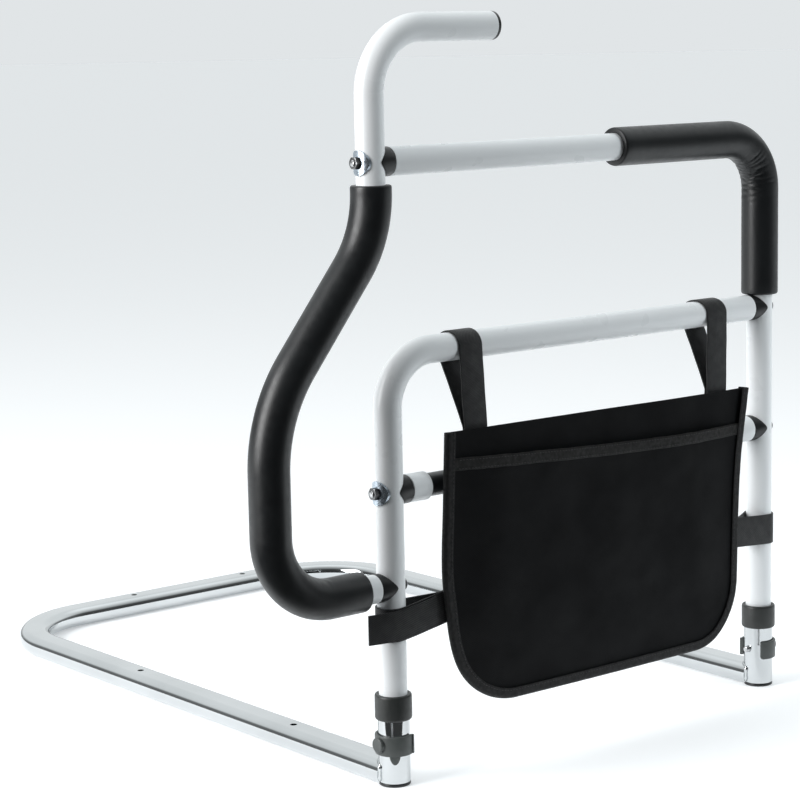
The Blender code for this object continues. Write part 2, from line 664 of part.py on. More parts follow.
def make_foam_grips(rail, foam):
    rounding = sum(inset for inset, drawn_in in FOAM_END_STEPS)

    stations = [frame_at((HANDLE_X, 0, SIDE_FOAM_TOP - rounding), (0, 0, -1), (1, 0, 0))]
    sweep_to_return(stations, SIDE_FOAM_TOP - rounding, -SIDE_FOAM_END - rounding)
    add_piece("foam_grip_side", foam_tube(stations), foam, rail)

    stations = frame_bend_route(TOP_FOAM_END + rounding)
    go_straight(stations, POST_SPACING - FRAME_BEND_RADIUS - TOP_FOAM_START - rounding)
    add_piece("foam_grip_top", foam_tube(stations), foam, rail)


# Saddles and fasteners at the five bar ends


def make_saddle(name, x, height, toward, rail, plastic):
    """A block the size of the bar, coped to the post that it sits on."""
    place = (x, 0, height)
    block = bmesh.new()
    rod_along_x(block, TUBE_RADIUS, toward * SADDLE_TIP, toward * SADDLE_SEAT, sides=TUBE_SIDES)
    saddle = add_piece(name, block, plastic, rail, place)
    cutter = bmesh.new()
    upright_rod(cutter, SADDLE_BORE, -LONG_CUT / 2, LONG_CUT / 2)
    combine(saddle, f"{name}_cope", cutter, rail, location=place)
    drill = bmesh.new()
    rod_along_x(drill, BOLT_HOLE, 0, toward * LONG_CUT)
    combine(saddle, f"{name}_hole", drill, rail, location=place)


def make_insert(name, x, height, toward, bore_radius, rail, steel):
    outer = bore_radius - GAP
    outline = [(BOLT_HOLE, 0), (outer, 0), (outer, INSERT_LENGTH), (BOLT_HOLE, INSERT_LENGTH)]
    add_piece(name, turned(outline), steel, rail, (x + toward * BAR_END, 0, height), along_x(toward))


def make_round_headed_bolt(name, x, height, toward, rail, steel):
    """Its head lies on the post's far side, and its shank reaches the insert in the bar."""
    under_head = TUBE_RADIUS + GAP
    tip = under_head + BAR_END + BOLT_ENGAGEMENT
    outline = [
        (0, -HEAD_HEIGHT),
        (HEAD_CROWN_RADIUS, HEAD_CROWN_DROP - HEAD_HEIGHT),
        (HEAD_SHOULDER_RADIUS, HEAD_SHOULDER_DROP - HEAD_HEIGHT),
        (HEAD_RADIUS, 0),
        (BOLT_RADIUS, 0),
        (BOLT_RADIUS, tip),
        (0, tip),
    ]
    place = (x - toward * under_head, 0, height)
    add_piece(name, turned(outline, BOLT_SIDES), steel, rail, place, along_x(toward))


def make_nut_joint(suffix, x, height, rail, zinc, dark_zinc, steel):
    """On a post's -X side: a curved washer, a hex nut, and the stud that comes through from the bar."""
    place = (x, 0, height)
    outside = TUBE_RADIUS + GAP + WASHER_THICKNESS
    disc = bmesh.new()
    rod_along_x(disc, WASHER_RADIUS, -outside - GAP, -outside / 2, sides=TUBE_SIDES)
    washer = add_piece(f"washer_{suffix}", disc, zinc, rail, place)
    shell = bmesh.new()
    upright_rod(shell, outside, -LONG_CUT / 2, LONG_CUT / 2)
    combine(washer, f"washer_{suffix}_curve", shell, rail, "INTERSECT", location=place)
    cutter = bmesh.new()
    upright_rod(cutter, SADDLE_BORE, -LONG_CUT / 2, LONG_CUT / 2)
    combine(washer, f"washer_{suffix}_seat", cutter, rail, location=place)
    drill = bmesh.new()
    rod_along_x(drill, BOLT_HOLE, -LONG_CUT / 2, 0)
    combine(washer, f"washer_{suffix}_hole", drill, rail, location=place)

    nut_face = outside + GAP
    corner = NUT_FLATS / 2 / math.cos(math.pi / 6)
    block = bmesh.new()
    rod_along_x(block, corner, -nut_face - NUT_HEIGHT, -nut_face, sides=6)
    nut = add_piece(f"nut_{suffix}", block, dark_zinc, rail, place)
    drill = bmesh.new()
    rod_along_x(drill, BOLT_HOLE, -LONG_CUT, 0)
    combine(nut, f"nut_{suffix}_hole", drill, rail, location=place)

    tip = nut_face + NUT_HEIGHT + STUD_PROUD
    length = tip + BAR_END + BOLT_ENGAGEMENT
    outline = [
        (0, 0),
        (BOLT_RADIUS - PIN_TIP_BEVEL, 0),
        (BOLT_RADIUS, PIN_TIP_BEVEL),
        (BOLT_RADIUS, length),
        (0, length),
    ]
    shank = turned(outline, BOLT_SIDES)
    add_piece(f"stud_{suffix}", shank, steel, rail, (x - tip, 0, height), along_x(1))


# Pouch and straps


def pouch_route():
    """Down the pouch's left side, round the bottom and up its right side; local X is outward."""
    stations = [frame_at((POUCH_LEFT, 0, POUCH_TOP), (0, 0, -1), (-1, 0, 0))]
    side = POUCH_TOP - POUCH_BOTTOM - POUCH_CORNER
    go_straight(stations, side)
    go_round(stations, POUCH_CORNER, -QUARTER_TURN, POUCH_CORNER_STEPS)
    go_straight(stations, POUCH_RIGHT - POUCH_LEFT - 2 * POUCH_CORNER)
    go_round(stations, POUCH_CORNER, -QUARTER_TURN, POUCH_CORNER_STEPS)
    go_straight(stations, side)
    return stations


def make_back_panel(rail, cloth):
    bm = bmesh.new()
    places = [station.to_translation() for station in pouch_route()]
    face = bm.faces.new([bm.verts.new((place.x, -POUCH_BACK, place.z)) for place in places])
    grown = bmesh.ops.extrude_face_region(bm, geom=[face], use_keep_orig=True)["geom"]
    moved = [part for part in grown if isinstance(part, bmesh.types.BMVert)]
    bmesh.ops.translate(bm, vec=(0, -PANEL_THICKNESS, 0), verts=moved)
    add_piece("pouch_back_panel", bm, cloth, rail)


def pouch_rows():
    """Heights of the pocket's rows, with how far each row's ends lie in from the pouch's sides."""
    rows = []
    for step in range(POUCH_CORNER_STEPS + 1):
        turn = QUARTER_TURN * step / POUCH_CORNER_STEPS
        inset = POUCH_CORNER * (1 - math.sin(turn))
        rows.append((POUCH_BOTTOM + POUCH_CORNER * (1 - math.cos(turn)), inset))
    corner_top = POUCH_BOTTOM + POUCH_CORNER
    for row in range(1, POCKET_SIDE_ROWS + 1):
        rows.append((corner_top + (POCKET_TOP - corner_top) * row / POCKET_SIDE_ROWS, 0.0))
    return rows


def seam_distance(x, z):
    """How far a point of the pouch lies in from its sewn edge."""
    from_side = min(x - POUCH_LEFT, POUCH_RIGHT - x)
    from_bottom = z - POUCH_BOTTOM
    if from_side < POUCH_CORNER and from_bottom < POUCH_CORNER:
        return POUCH_CORNER - math.hypot(POUCH_CORNER - from_side, POUCH_CORNER - from_bottom)
    return min(from_side, from_bottom)


def pocket_swell(x, z):
    share = (seam_distance(x, z) - POCKET_SEAM) / POCKET_SWELL_REACH
    share = min(max(share, 0.0), 1.0)
    return POCKET_SWELL * share * share * (3 - 2 * share)


def make_front_pocket(rail, cloth):
    """A panel that is flat along its sewn edge and stands forward at its open mouth."""
    rows = pouch_rows()
    columns = 2 * len(POCKET_COLUMNS)
    bm = bmesh.new()
    bmesh.ops.create_grid(bm, x_segments=columns - 1, y_segments=len(rows) - 1, size=0.5)
    for vert in bm.verts:
        column = round((vert.co.x + 0.5) * (columns - 1))
        height, inset = rows[round((vert.co.y + 0.5) * (len(rows) - 1))]
        half_width = (POUCH_RIGHT - POUCH_LEFT) / 2 - inset
        if column < len(POCKET_COLUMNS):
            x = POUCH_LEFT + inset + half_width * POCKET_COLUMNS[column]
        else:
            x = POUCH_RIGHT - inset - half_width * POCKET_COLUMNS[columns - 1 - column]
        vert.co = (x, -POCKET_BACK - pocket_swell(x, height), height)
    grown = bmesh.ops.extrude_face_region(bm, geom=list(bm.faces), use_keep_orig=True)["geom"]
    moved = [part for part in grown if isinstance(part, bmesh.types.BMVert)]
    bmesh.ops.translate(bm, vec=(0, -POCKET_THICKNESS, 0), verts=moved)
    add_piece("pouch_front_pocket", bm, cloth, rail)


def make_binding(rail, tape):
    """A tape folded round the pouch's sides and bottom, open along its top."""
    inner_back = -POUCH_BACK + GAP
    inner_front = -POCKET_FRONT - GAP
    outer_back = inner_back + BINDING_THICKNESS
    outer_front = inner_front - BINDING_THICKNESS
    fold = GAP + BINDING_THICKNESS
    # Local Y of the route's stations points to +Y, so the outline's second value is the world's Y.
    outline = [
        (-BINDING_DEPTH, outer_back),
        (fold, outer_back),
        (fold, outer_front),
        (-BINDING_DEPTH, outer_front),
        (-BINDING_DEPTH, inner_front),
        (GAP, inner_front),
        (GAP, inner_back),
        (-BINDING_DEPTH, inner_back),
    ]
    add_piece("pouch_binding", swept_bar(outline, pouch_route()), tape, rail)


def leg_turn(end_offset, drop, knee_radius):
    """How far past its tangent a strap turns, and its free length, to end at an offset from the bar."""
    start = STRAP_RADIUS + knee_radius
    end = end_offset + knee_radius
    free = math.sqrt(end * end + drop * drop - start * start)
    return math.atan2(drop, end) - math.atan2(free, start), free


def make_strap(name, bar_point, leg_direction, front_offset, drop, sewn, width, lean, rail, webbing):
    """Webbing that leaves the pouch, goes round a bar and comes back behind itself."""
    leg = Vector(leg_direction)
    front = Vector((0, -1, 0))
    lead_turn, lead_free = leg_turn(front_offset, drop, -STRAP_KNEE_RADIUS)
    back_turn, back_free = leg_turn(STRAP_LAYER - front_offset, drop, STRAP_KNEE_RADIUS)
    start = Vector(bar_point) + front * front_offset + leg * (drop + sewn)
    stations = [frame_at(start, -leg, -front)]
    go_straight(stations, sewn)
    if front_offset > STRAP_RADIUS:
        go_round(stations, STRAP_KNEE_RADIUS, -lead_turn, 1)
    go_straight(stations, lead_free)
    go_round(stations, STRAP_RADIUS, math.pi + lead_turn + back_turn, STRAP_ARC_STEPS)
    go_straight(stations, back_free)
    go_round(stations, STRAP_KNEE_RADIUS, -back_turn, 2)
    go_straight(stations, sewn)
    half_width, half_thickness = width / 2, STRAP_THICKNESS / 2
    outline = [
        (-half_thickness, -half_width),
        (half_thickness, -half_width),
        (half_thickness, half_width),
        (-half_thickness, half_width),
    ]
    bm = swept_bar(outline, stations)
    slope = Matrix.Identity(4)
    slope[2][0] = lean
    anchor = Matrix.Translation(bar_point)
    bmesh.ops.transform(bm, matrix=anchor @ slope @ anchor.inverted(), verts=bm.verts)
    add_piece(name, bm, webbing, rail)


def make_straps(rail, webbing):
    hanging_front = POUCH_BACK - GAP - STRAP_THICKNESS / 2
    hanging = (
        ("left", POUCH_LEFT + HANGING_STRAP_INSET),
        ("right", POUCH_RIGHT - RIGHT_HANGING_STRAP_INSET),
    )
    for side, x in hanging:
        make_strap(
            f"hanging_strap_{side}",
            (x, 0, LOWER_BAR_HEIGHT),
            (0, 0, -1),
            hanging_front,
            POUCH_BELOW_BAR - KNEE_OUTSIDE_POUCH,
            HANGING_STRAP_SEWN,
            HANGING_STRAP_WIDTH,
            0.0,
            rail,
            webbing,
        )
    left_height, right_height = SIDE_STRAP_LEFT_HEIGHT, SIDE_STRAP_RIGHT_HEIGHT
    sides = (
        ("left", 0, 1, left_height, SIDE_STRAP_LEFT_SLOPE, POUCH_FROM_LEFT_POST),
        ("right", POST_SPACING, -1, right_height, -SIDE_STRAP_RIGHT_SLOPE, POUCH_FROM_RIGHT_POST),
    )
    for side, x, toward, height, lean, to_pouch in sides:
        make_strap(
            f"side_strap_{side}",
            (x, 0, height),
            (toward, 0, 0),
            STRAP_RADIUS,
            to_pouch - KNEE_OUTSIDE_POUCH,
            SIDE_STRAP_SEWN,
            SIDE_STRAP_WIDTH,
            lean,
            rail,
            webbing,
        )


def main():
    clear_scene()
    chrome = finish("chrome", (0.72, 0.73, 0.75), 0.12, 1.0)
    white = finish("white powder coat", (0.82, 0.84, 0.86), 0.28)
    foam = finish("black foam", (0.018, 0.020, 0.024), 0.75)
    black_plastic = finish("black plastic", (0.02, 0.02, 0.022), 0.45)
    grey_plastic = finish("dark grey plastic", (0.06, 0.065, 0.062), 0.5)
    steel = finish("bright steel", (0.6, 0.61, 0.62), 0.25, 1.0)
    zinc = finish("zinc plate", (0.55, 0.6, 0.68), 0.3, 1.0)
    dark_zinc = finish("dark zinc plate", (0.12, 0.12, 0.13), 0.35, 1.0)
    dark_tube = finish("dark tube", (0.03, 0.03, 0.035), 0.4)
    cloth = finish("pouch cloth", (0.010, 0.011, 0.014), 0.8)
    tape = finish("binding tape", (0.012, 0.012, 0.014), 0.7)
    webbing = finish("black webbing", (0.014, 0.014, 0.016), 0.75)

    boss_side = POST_SPACING + BOSS_FACE
    foam_side = SWEEP_BOTTOM_X - FOAM_RADIUS
    pouch_face = -POCKET_FRONT - POCKET_SWELL
    middle = (-(boss_side + foam_side) / 2, -(LOOP_DEPTH + pouch_face) / 2, 0)
    origin = empty("bar_origin", middle)
    rail = empty("hand_rail_slide", (0, 0, 0), origin)
    left_slide = empty("left_clip_slide", (0, 0, PIN_HEIGHT), origin)
    right_slide = empty("right_clip_slide", (POST_SPACING, 0, PIN_HEIGHT), origin)

    make_base_loop(origin, chrome)
    for side, x in (("left", 0), ("right", POST_SPACING)):
        make_socket(side, x, origin, chrome, black_plastic, grey_plastic)
    make_lock("left", left_slide, 0, grey_plastic, steel)
    make_lock("right", right_slide, math.pi, grey_plastic, steel)

    make_arch_tube(rail, white)
    make_right_frame_tube(rail, white)
    make_handle_tube(rail, white)
    make_handle_end_cap(rail, black_plastic)
    make_mid_crossbar(rail, dark_tube, white)
    make_foam_grips(rail, foam)

    bar_ends = (
        ("upper", HANDLE_X, UPPER_BAR_HEIGHT, 1, TUBE_BORE),
        ("lower", POST_SPACING, LOWER_BAR_HEIGHT, -1, TUBE_BORE),
        ("mid_left", 0, MID_BAR_HEIGHT, 1, CROSSBAR_RADIUS - CROSSBAR_WALL),
        ("mid_right", POST_SPACING, MID_BAR_HEIGHT, -1, CROSSBAR_RADIUS - CROSSBAR_WALL),
        ("handle_end", 0, RETURN_HEIGHT, -1, TUBE_BORE),
    )
    for name, x, height, toward, bore_radius in bar_ends:
        make_saddle(f"saddle_{name}", x, height, toward, rail, black_plastic)
        make_insert(f"insert_{name}", x, height, toward, bore_radius, rail, steel)
        if name in ("lower", "mid_right", "handle_end"):
            make_round_headed_bolt(f"bolt_{name}", x, height, toward, rail, dark_zinc)
    make_nut_joint("upper", HANDLE_X, UPPER_BAR_HEIGHT, rail, zinc, dark_zinc, steel)
    make_nut_joint("mid", 0, MID_BAR_HEIGHT, rail, zinc, dark_zinc, steel)

    make_back_panel(rail, cloth)
    make_front_pocket(rail, cloth)
    make_binding(rail, tape)
    make_straps(rail, webbing)


main()
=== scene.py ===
# %% [markdown]
# # A bed assist bar
#
# The chromed loop of this bar slides under a mattress. Its white hand rail, which carries two foam
# grips and a cloth pouch, stands in the loop's two sockets and is locked by a pin on a springy clip
# at each.
#
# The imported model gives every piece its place. This script draws each piece again in that place,
# with the smooth bends, rounded edges, stitches and surface finish that the real one has.

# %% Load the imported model
import math

import bmesh
import bpy
from mathutils import Matrix, Vector, noise


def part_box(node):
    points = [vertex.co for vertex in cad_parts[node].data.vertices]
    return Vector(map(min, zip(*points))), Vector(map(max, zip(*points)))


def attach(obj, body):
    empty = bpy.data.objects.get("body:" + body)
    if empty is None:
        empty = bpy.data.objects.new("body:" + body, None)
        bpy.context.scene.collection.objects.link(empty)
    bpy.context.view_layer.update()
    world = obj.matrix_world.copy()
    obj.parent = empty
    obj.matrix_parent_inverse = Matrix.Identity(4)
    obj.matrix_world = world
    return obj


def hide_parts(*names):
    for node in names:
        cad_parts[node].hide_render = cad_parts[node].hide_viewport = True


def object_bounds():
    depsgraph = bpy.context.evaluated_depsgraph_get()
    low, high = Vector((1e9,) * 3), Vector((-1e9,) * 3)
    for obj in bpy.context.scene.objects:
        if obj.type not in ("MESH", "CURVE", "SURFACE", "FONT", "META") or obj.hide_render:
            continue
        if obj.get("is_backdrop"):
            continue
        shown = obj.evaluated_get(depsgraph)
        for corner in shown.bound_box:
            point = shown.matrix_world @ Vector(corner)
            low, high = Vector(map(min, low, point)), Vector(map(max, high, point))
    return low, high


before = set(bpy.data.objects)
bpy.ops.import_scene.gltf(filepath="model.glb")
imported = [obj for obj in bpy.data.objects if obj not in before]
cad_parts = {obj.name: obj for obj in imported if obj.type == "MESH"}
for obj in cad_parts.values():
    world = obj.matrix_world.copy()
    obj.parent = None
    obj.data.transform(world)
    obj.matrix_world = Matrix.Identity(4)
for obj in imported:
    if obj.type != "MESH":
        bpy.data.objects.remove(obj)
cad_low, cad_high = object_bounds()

scene = bpy.context.scene

# %% [markdown]
# ## Where things are
#
# Pieces are drawn in millimetres from the left post's axis at floor level, with X along the rail
# to the right post, Y back under the mattress and Z up. The left floor plug stands exactly on that
# axis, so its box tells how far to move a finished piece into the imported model's metres.

# %% The left post's axis
MM = 0.001
POST_SPACING = 475.5
plug_low, plug_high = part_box("floor_plug_left")
left_post = Vector(((plug_low[0] + plug_high[0]) / 2, (plug_low[1] + plug_high[1]) / 2, 0))
into_frame = Matrix.Translation(left_post) @ Matrix.Scale(MM, 4)
SIDES = (("left", 0), ("right", POST_SPACING))

# %% [markdown]
# ## The camera
#
# The photograph was taken from the left and a little above, with a long lens that keeps the two
# posts nearly parallel. A camera solved from the tubes' edges gives the place, turn and lens.

# %% Camera
camera_data = bpy.data.cameras.new("camera")
camera_data.lens = 106.31
camera_data.sensor_width = 36.0
camera_data.clip_start = 0.05
camera_data.clip_end = 100.0
camera = bpy.data.objects.new("camera", camera_data)
camera.location = (-1.44356, -1.92023, 0.66077)
camera.rotation_euler = [math.radians(turn) for turn in (81.1346, 1.1311, -39.2934)]
scene.collection.objects.link(camera)
scene.camera = camera

# %% [markdown]
# ## Shader nodes
#
# Each finish is a Principled shader with small changes of colour, gloss and height from noise and
# waves. Most of them read Object coordinates, so a pattern keeps its real size. Webbing and tape
# read how far along and across the strip each point lies.

# %% Node helpers
def add_node(tree, kind, inputs=None, **settings):
    """A shader node with its settings, and with numbers or other nodes' outputs as its inputs."""
    made = tree.nodes.new("ShaderNode" + kind)
    for setting, value in settings.items():
        setattr(made, setting, value)
    for socket, value in (inputs or {}).items():
        if isinstance(value, bpy.types.NodeSocket):
            tree.links.new(value, made.inputs[socket])
        else:
            made.inputs[socket].default_value = value
    return made


def maths(tree, operation, *values):
    return add_node(tree, "Math", dict(enumerate(values)), operation=operation).outputs[0]


def ranged(tree, value, start, end, low, high, course="LINEAR"):
    """A change from low to high while a value goes from start to end."""
    inputs = {"Value": value, "From Min": start, "From Max": end, "To Min": low, "To Max": high}
    return add_node(tree, "MapRange", inputs, interpolation_type=course).outputs[0]


# %% A finish maker
class Finish:
    """A Principled material for one slot, with short ways to add the patterns that vary it."""

    def __init__(self, name, slot, colour, roughness, metallic=0.0, woven=False, **constants):
        self.slot = slot
        self.material = bpy.data.materials.new(name)
        self.material.use_nodes = True
        self.tree = self.material.node_tree
        self.shader = self.tree.nodes["Principled BSDF"]
        constants.update(Base_Color=(*colour, 1.0), Roughness=roughness, Metallic=metallic)
        for socket, value in constants.items():
            self.shader.inputs[socket.replace("_", " ")].default_value = value
        self.normal = None
        if woven:
            across = self.node("Attribute", attribute_name="across").outputs["Fac"]
            along = self.node("Attribute", attribute_name="along").outputs["Fac"]
            self.where = self.node("CombineXYZ", {"X": across, "Y": along}).outputs[0]
        else:
            self.where = self.node("TexCoord").outputs["Object"]

    def node(self, kind, inputs=None, **settings):
        return add_node(self.tree, kind, inputs, **settings)

    def maths(self, operation, *values):
        return maths(self.tree, operation, *values)

    def shade(self, socket, value):
        self.tree.links.new(value, self.shader.inputs[socket])

    def axis(self, name):
        return self.node("SeparateXYZ", {0: self.where}).outputs[name]

    def grain(self, size, detail=2.0, stretch=None):
        """Noise with lumps of a size in metres, stretched by a factor on each axis."""
        where = self.where
        if stretch:
            where = self.node("Mapping", {"Vector": where, "Scale": stretch}).outputs[0]
        inputs = {"Vector": where, "Scale": 1 / size, "Detail": detail}
        return self.node("TexNoise", inputs).outputs["Fac"]

    def ridges(self, value, pitch):
        """A wave from 0 to 1 over a coordinate in metres, with one ridge for each pitch."""
        wave = self.maths("SINE", self.maths("MULTIPLY", value, 2 * math.pi / pitch))
        return self.maths("MULTIPLY", self.maths("ADD", wave, 1.0), 0.5)

    def colours(self, share, first, second):
        made = self.node("ValToRGB", {"Fac": share})
        for stop, position, colour in zip(made.color_ramp.elements, (0.3, 0.7), (first, second)):
            stop.position = position
            stop.color = (*colour, 1.0)
        self.shade("Base Color", made.outputs["Color"])

    def gloss(self, share, low, high):
        self.shade("Roughness", ranged(self.tree, share, 0.3, 0.7, low, high))

    def relief(self, heights, depth):
        """Raise the surface by a pattern, with its full depth in millimetres."""
        inputs = {"Distance": depth * MM, "Height": heights}
        if self.normal:
            inputs["Normal"] = self.normal
        self.normal = self.node("Bump", inputs).outputs[0]
        self.shade("Normal", self.normal)


# %% [markdown]
# ## Floor and light
#
# White and chromed tubes in the photograph are bright along both edges and dark down the middle. So
# the bar stands on a pale sheet that ends just in front of it, in a room that is bright behind and
# above, and dark low down and round the camera. A large soft light stands on the left. A weaker one
# on the right lights the cloth and foam, and is kept out of reflections.

# %% Floor
TO_CAMERA = Vector((-0.631, -0.776, 0.0))
FLOOR_EDGE = 0.47
FLOOR_SIZE = 60.0

# The sheet glows a little, for the light that a paper floor would get from lamps aimed at it.
paper = Finish(
    "pale floor", None, (0.86, 0.87, 0.88), 0.9, Specular_IOR_Level=0.1,
    Emission_Color=(0.95, 0.98, 1.0, 1.0), Emission_Strength=0.26,
)
bm = bmesh.new()
turn = Matrix.Rotation(math.atan2(-TO_CAMERA.x, TO_CAMERA.y), 4, "Z")
middle = Matrix.Translation(TO_CAMERA * (FLOOR_EDGE - FLOOR_SIZE / 2)) @ turn
bmesh.ops.create_grid(bm, x_segments=1, y_segments=1, size=FLOOR_SIZE / 2, matrix=middle)
floor_mesh = bpy.data.meshes.new("floor")
bm.to_mesh(floor_mesh)
bm.free()
floor_mesh.materials.append(paper.material)
floor = bpy.data.objects.new("floor", floor_mesh)
scene.collection.objects.link(floor)
floor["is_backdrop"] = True

# %% Soft lights
LIGHTS_AIM = Vector((0.0, 0.0, 0.35))


def soft_light(name, place, width, height, power, colour=(1.0, 1.0, 1.0)):
    """A rectangular soft box at a place, turned toward the middle of the bar."""
    data = bpy.data.lights.new(name, "AREA")
    data.shape = "RECTANGLE"
    data.size = width
    data.size_y = height
    data.energy = power
    data.color = colour
    lamp = bpy.data.objects.new(name, data)
    lamp.location = place
    lamp.rotation_euler = (LIGHTS_AIM - Vector(place)).to_track_quat("-Z", "Y").to_euler()
    scene.collection.objects.link(lamp)
    return lamp


soft_light("key", (-2.52, 0.25, 1.3), 1.5, 2.2, 100)
fill = soft_light("fill", (1.2, -1.8, 1.2), 0.6, 1.8, 20, (0.93, 0.98, 1.0))
fill.visible_glossy = False

# %% Studio walls
world = bpy.data.worlds.new("studio")
world.use_nodes = True
scene.world = world
scene.view_settings.view_transform = "Standard"
walls = world.node_tree


def eased(value, start, end, low, high):
    return ranged(walls, value, start, end, low, high, "SMOOTHSTEP")


direction = add_node(walls, "TexCoord").outputs["Generated"]
height = add_node(walls, "SeparateXYZ", {0: direction}).outputs["Z"]
toward = add_node(walls, "VectorMath", {0: direction, 1: TO_CAMERA}, operation="DOT_PRODUCT")
side = toward.outputs["Value"]

# The dark strip along the foot of the walls is higher on the camera's side.
above = maths(walls, "MULTIPLY_ADD", side, -0.45, height)
glow = maths(walls, "ADD", eased(above, 0.38, 0.60, 0.22, 0.95), eased(height, 0.6, 1.0, 0.0, 0.45))
strength = maths(walls, "MULTIPLY", glow, eased(side, -0.6, 0.58, 1.0, 0.22))
room = walls.nodes["Background"]
room.inputs["Color"].default_value = (0.95, 0.99, 1.0, 1)
walls.links.new(strength, room.inputs["Strength"])

# The camera itself sees a plain backdrop as pale as the far floor, so no horizon shows.
backdrop = add_node(walls, "Background", {"Color": (0.753, 0.783, 0.799, 1)})
sight = add_node(walls, "LightPath").outputs["Is Camera Ray"]
seen = add_node(walls, "MixShader", {0: sight, 1: room.outputs[0], 2: backdrop.outputs[0]})
walls.links.new(seen.outputs[0], walls.nodes["World Output"].inputs["Surface"])

# %% [markdown]
# ## Routes and sweeps
#
# Tube, foam, webbing and tape are each a section carried along a route. A route is a list of
# places, each a matrix whose local Z points onward, and the section's ring of edges is extruded
# from place to place.

# %% Routes
QUARTER = math.pi / 2


def shift(x=0, y=0, z=0):
    return Matrix.Translation((x, y, z))


def turned_about(axis, angle):
    return Matrix.Rotation(angle, 4, axis)


def place_at(point, along, across):
    along, across = Vector(along).normalized(), Vector(across).normalized()
    axes = Matrix((across, along.cross(across), along)).transposed()
    return Matrix.Translation(point) @ axes.to_4x4()


def run(start, *legs):
    """A route from a place: a straight leg is (length, steps), a bend is (radius, angle, steps).

    A bend turns toward local X, or away from it with a negative angle."""
    route = [start]
    for *leg, steps in legs:
        first = route[-1]
        for step in range(1, steps + 1):
            if len(leg) == 1:
                route.append(first @ shift(z=leg[0] * step / steps))
            else:
                radius, angle = math.copysign(leg[0], leg[1]), leg[1]
                turn = turned_about("Y", angle * step / steps)
                route.append(first @ shift(radius) @ turn @ shift(-radius))
    return route


def route_through(points, up):
    """Places along a line of points, with local Y as near up as it can be."""
    route = []
    for index, point in enumerate(points):
        ahead = Vector(points[min(index + 1, len(points) - 1)])
        along = ahead - Vector(points[max(index - 1, 0)])
        route.append(place_at(point, along, Vector(up).cross(along)))
    return route


# %% Sections
def round_section(bm, place, radius, sides=64):
    made = bmesh.ops.create_circle(bm, segments=sides, radius=radius, matrix=place)
    return list({edge for vert in made["verts"] for edge in vert.link_edges})


def box_section(bm, place, thickness, width, corner, steps=4):
    """A rectangle with round corners: thickness along the place's X, width along its Y."""
    spots = [(-thickness, -width), (thickness, -width), (thickness, width), (-thickness, width)]
    verts = [bm.verts.new(place @ Vector((x / 2, y / 2, 0))) for x, y in spots]
    bm.faces.new(verts)
    bmesh.ops.bevel(
        bm, geom=verts, offset=corner, segments=steps, profile=0.5, affect="VERTICES", material=-1
    )
    edges = list(bm.edges)
    bmesh.ops.delete(bm, geom=list(bm.faces), context="FACES_ONLY")
    return edges


def drawn_section(bm, place, outline):
    verts = [bm.verts.new(place @ Vector((x, y, 0))) for x, y in outline]
    return [bm.edges.new(pair) for pair in zip(verts, verts[1:] + verts[:1])]


# %% Sweeps
def sweep(bm, edges, route, sizes=None):
    """Extrude a ring of edges along a route, with a size for each place if the ring changes.

    Each vertex keeps how far along and across it lies, in metres, for woven materials."""
    along = bm.verts.layers.float.get("along") or bm.verts.layers.float.new("along")
    across = bm.verts.layers.float.get("across") or bm.verts.layers.float.new("across")
    sizes = sizes or [1.0] * len(route)
    verts = list({vert for edge in edges for vert in edge.verts})
    back = route[0].inverted()
    for vert in verts:
        local = back @ vert.co
        vert[across] = (local.x + local.y) * MM
    grow = Matrix.Scale(sizes[0], 4)
    bmesh.ops.transform(bm, matrix=route[0] @ grow @ back, verts=verts)
    rings = [(0.0, route[0], verts)]
    distance = 0.0
    for step in range(1, len(route)):
        made = bmesh.ops.extrude_edge_only(bm, edges=edges)["geom"]
        verts = [part for part in made if isinstance(part, bmesh.types.BMVert)]
        new = set(verts)
        edges = [part for part in made if isinstance(part, bmesh.types.BMEdge)]
        edges = [edge for edge in edges if new.issuperset(edge.verts)]
        grow = Matrix.Scale(sizes[step] / sizes[step - 1], 4)
        move = route[step] @ grow @ route[step - 1].inverted()
        bmesh.ops.transform(bm, matrix=move, verts=verts)
        distance += (route[step].translation - route[step - 1].translation).length
        for vert in verts:
            vert[along] = distance * MM
        rings.append((distance, route[step], verts))
    return rings, edges


def pipe(route, outer, bore, sides=64, sizes=None):
    """A pipe with a wall: out along the route at its outside, then back at its bore."""
    bm = bmesh.new()
    sizes = sizes or [1.0] * len(route)
    all_sizes = sizes + [bore / outer] * len(route) + sizes[:1]
    edges = round_section(bm, route[0], outer, sides)
    rings, last = sweep(bm, edges, route + route[::-1] + route[:1], all_sizes)
    return bm, rings[:len(route)]


def bar(section, route, sizes=None):
    """A solid length with closed ends, from a function that draws its section."""
    bm = bmesh.new()
    edges = section(bm, route[0])
    bmesh.ops.edgeloop_fill(bm, edges=edges)
    rings, last = sweep(bm, edges, route, sizes)
    bmesh.ops.edgeloop_fill(bm, edges=last)
    return bm, rings


# %% Turned and plain shapes
def turned(outline, sides=64):
    """Spin an outline of (radius, height) points round Z; one that starts off the axis is a ring."""
    bm = bmesh.new()
    points = [bm.verts.new((radius, 0, height)) for radius, height in outline]
    edges = [bm.edges.new(pair) for pair in zip(points, points[1:])]
    if outline[0][0] > 0:
        edges.append(bm.edges.new((points[-1], points[0])))
    bmesh.ops.spin(
        bm, geom=points + edges, cent=(0, 0, 0), axis=(0, 0, 1), angle=2 * math.pi, steps=sides,
        use_merge=True,
    )
    bmesh.ops.remove_doubles(bm, verts=bm.verts, dist=0.003)
    bmesh.ops.recalc_face_normals(bm, faces=bm.faces)
    return bm


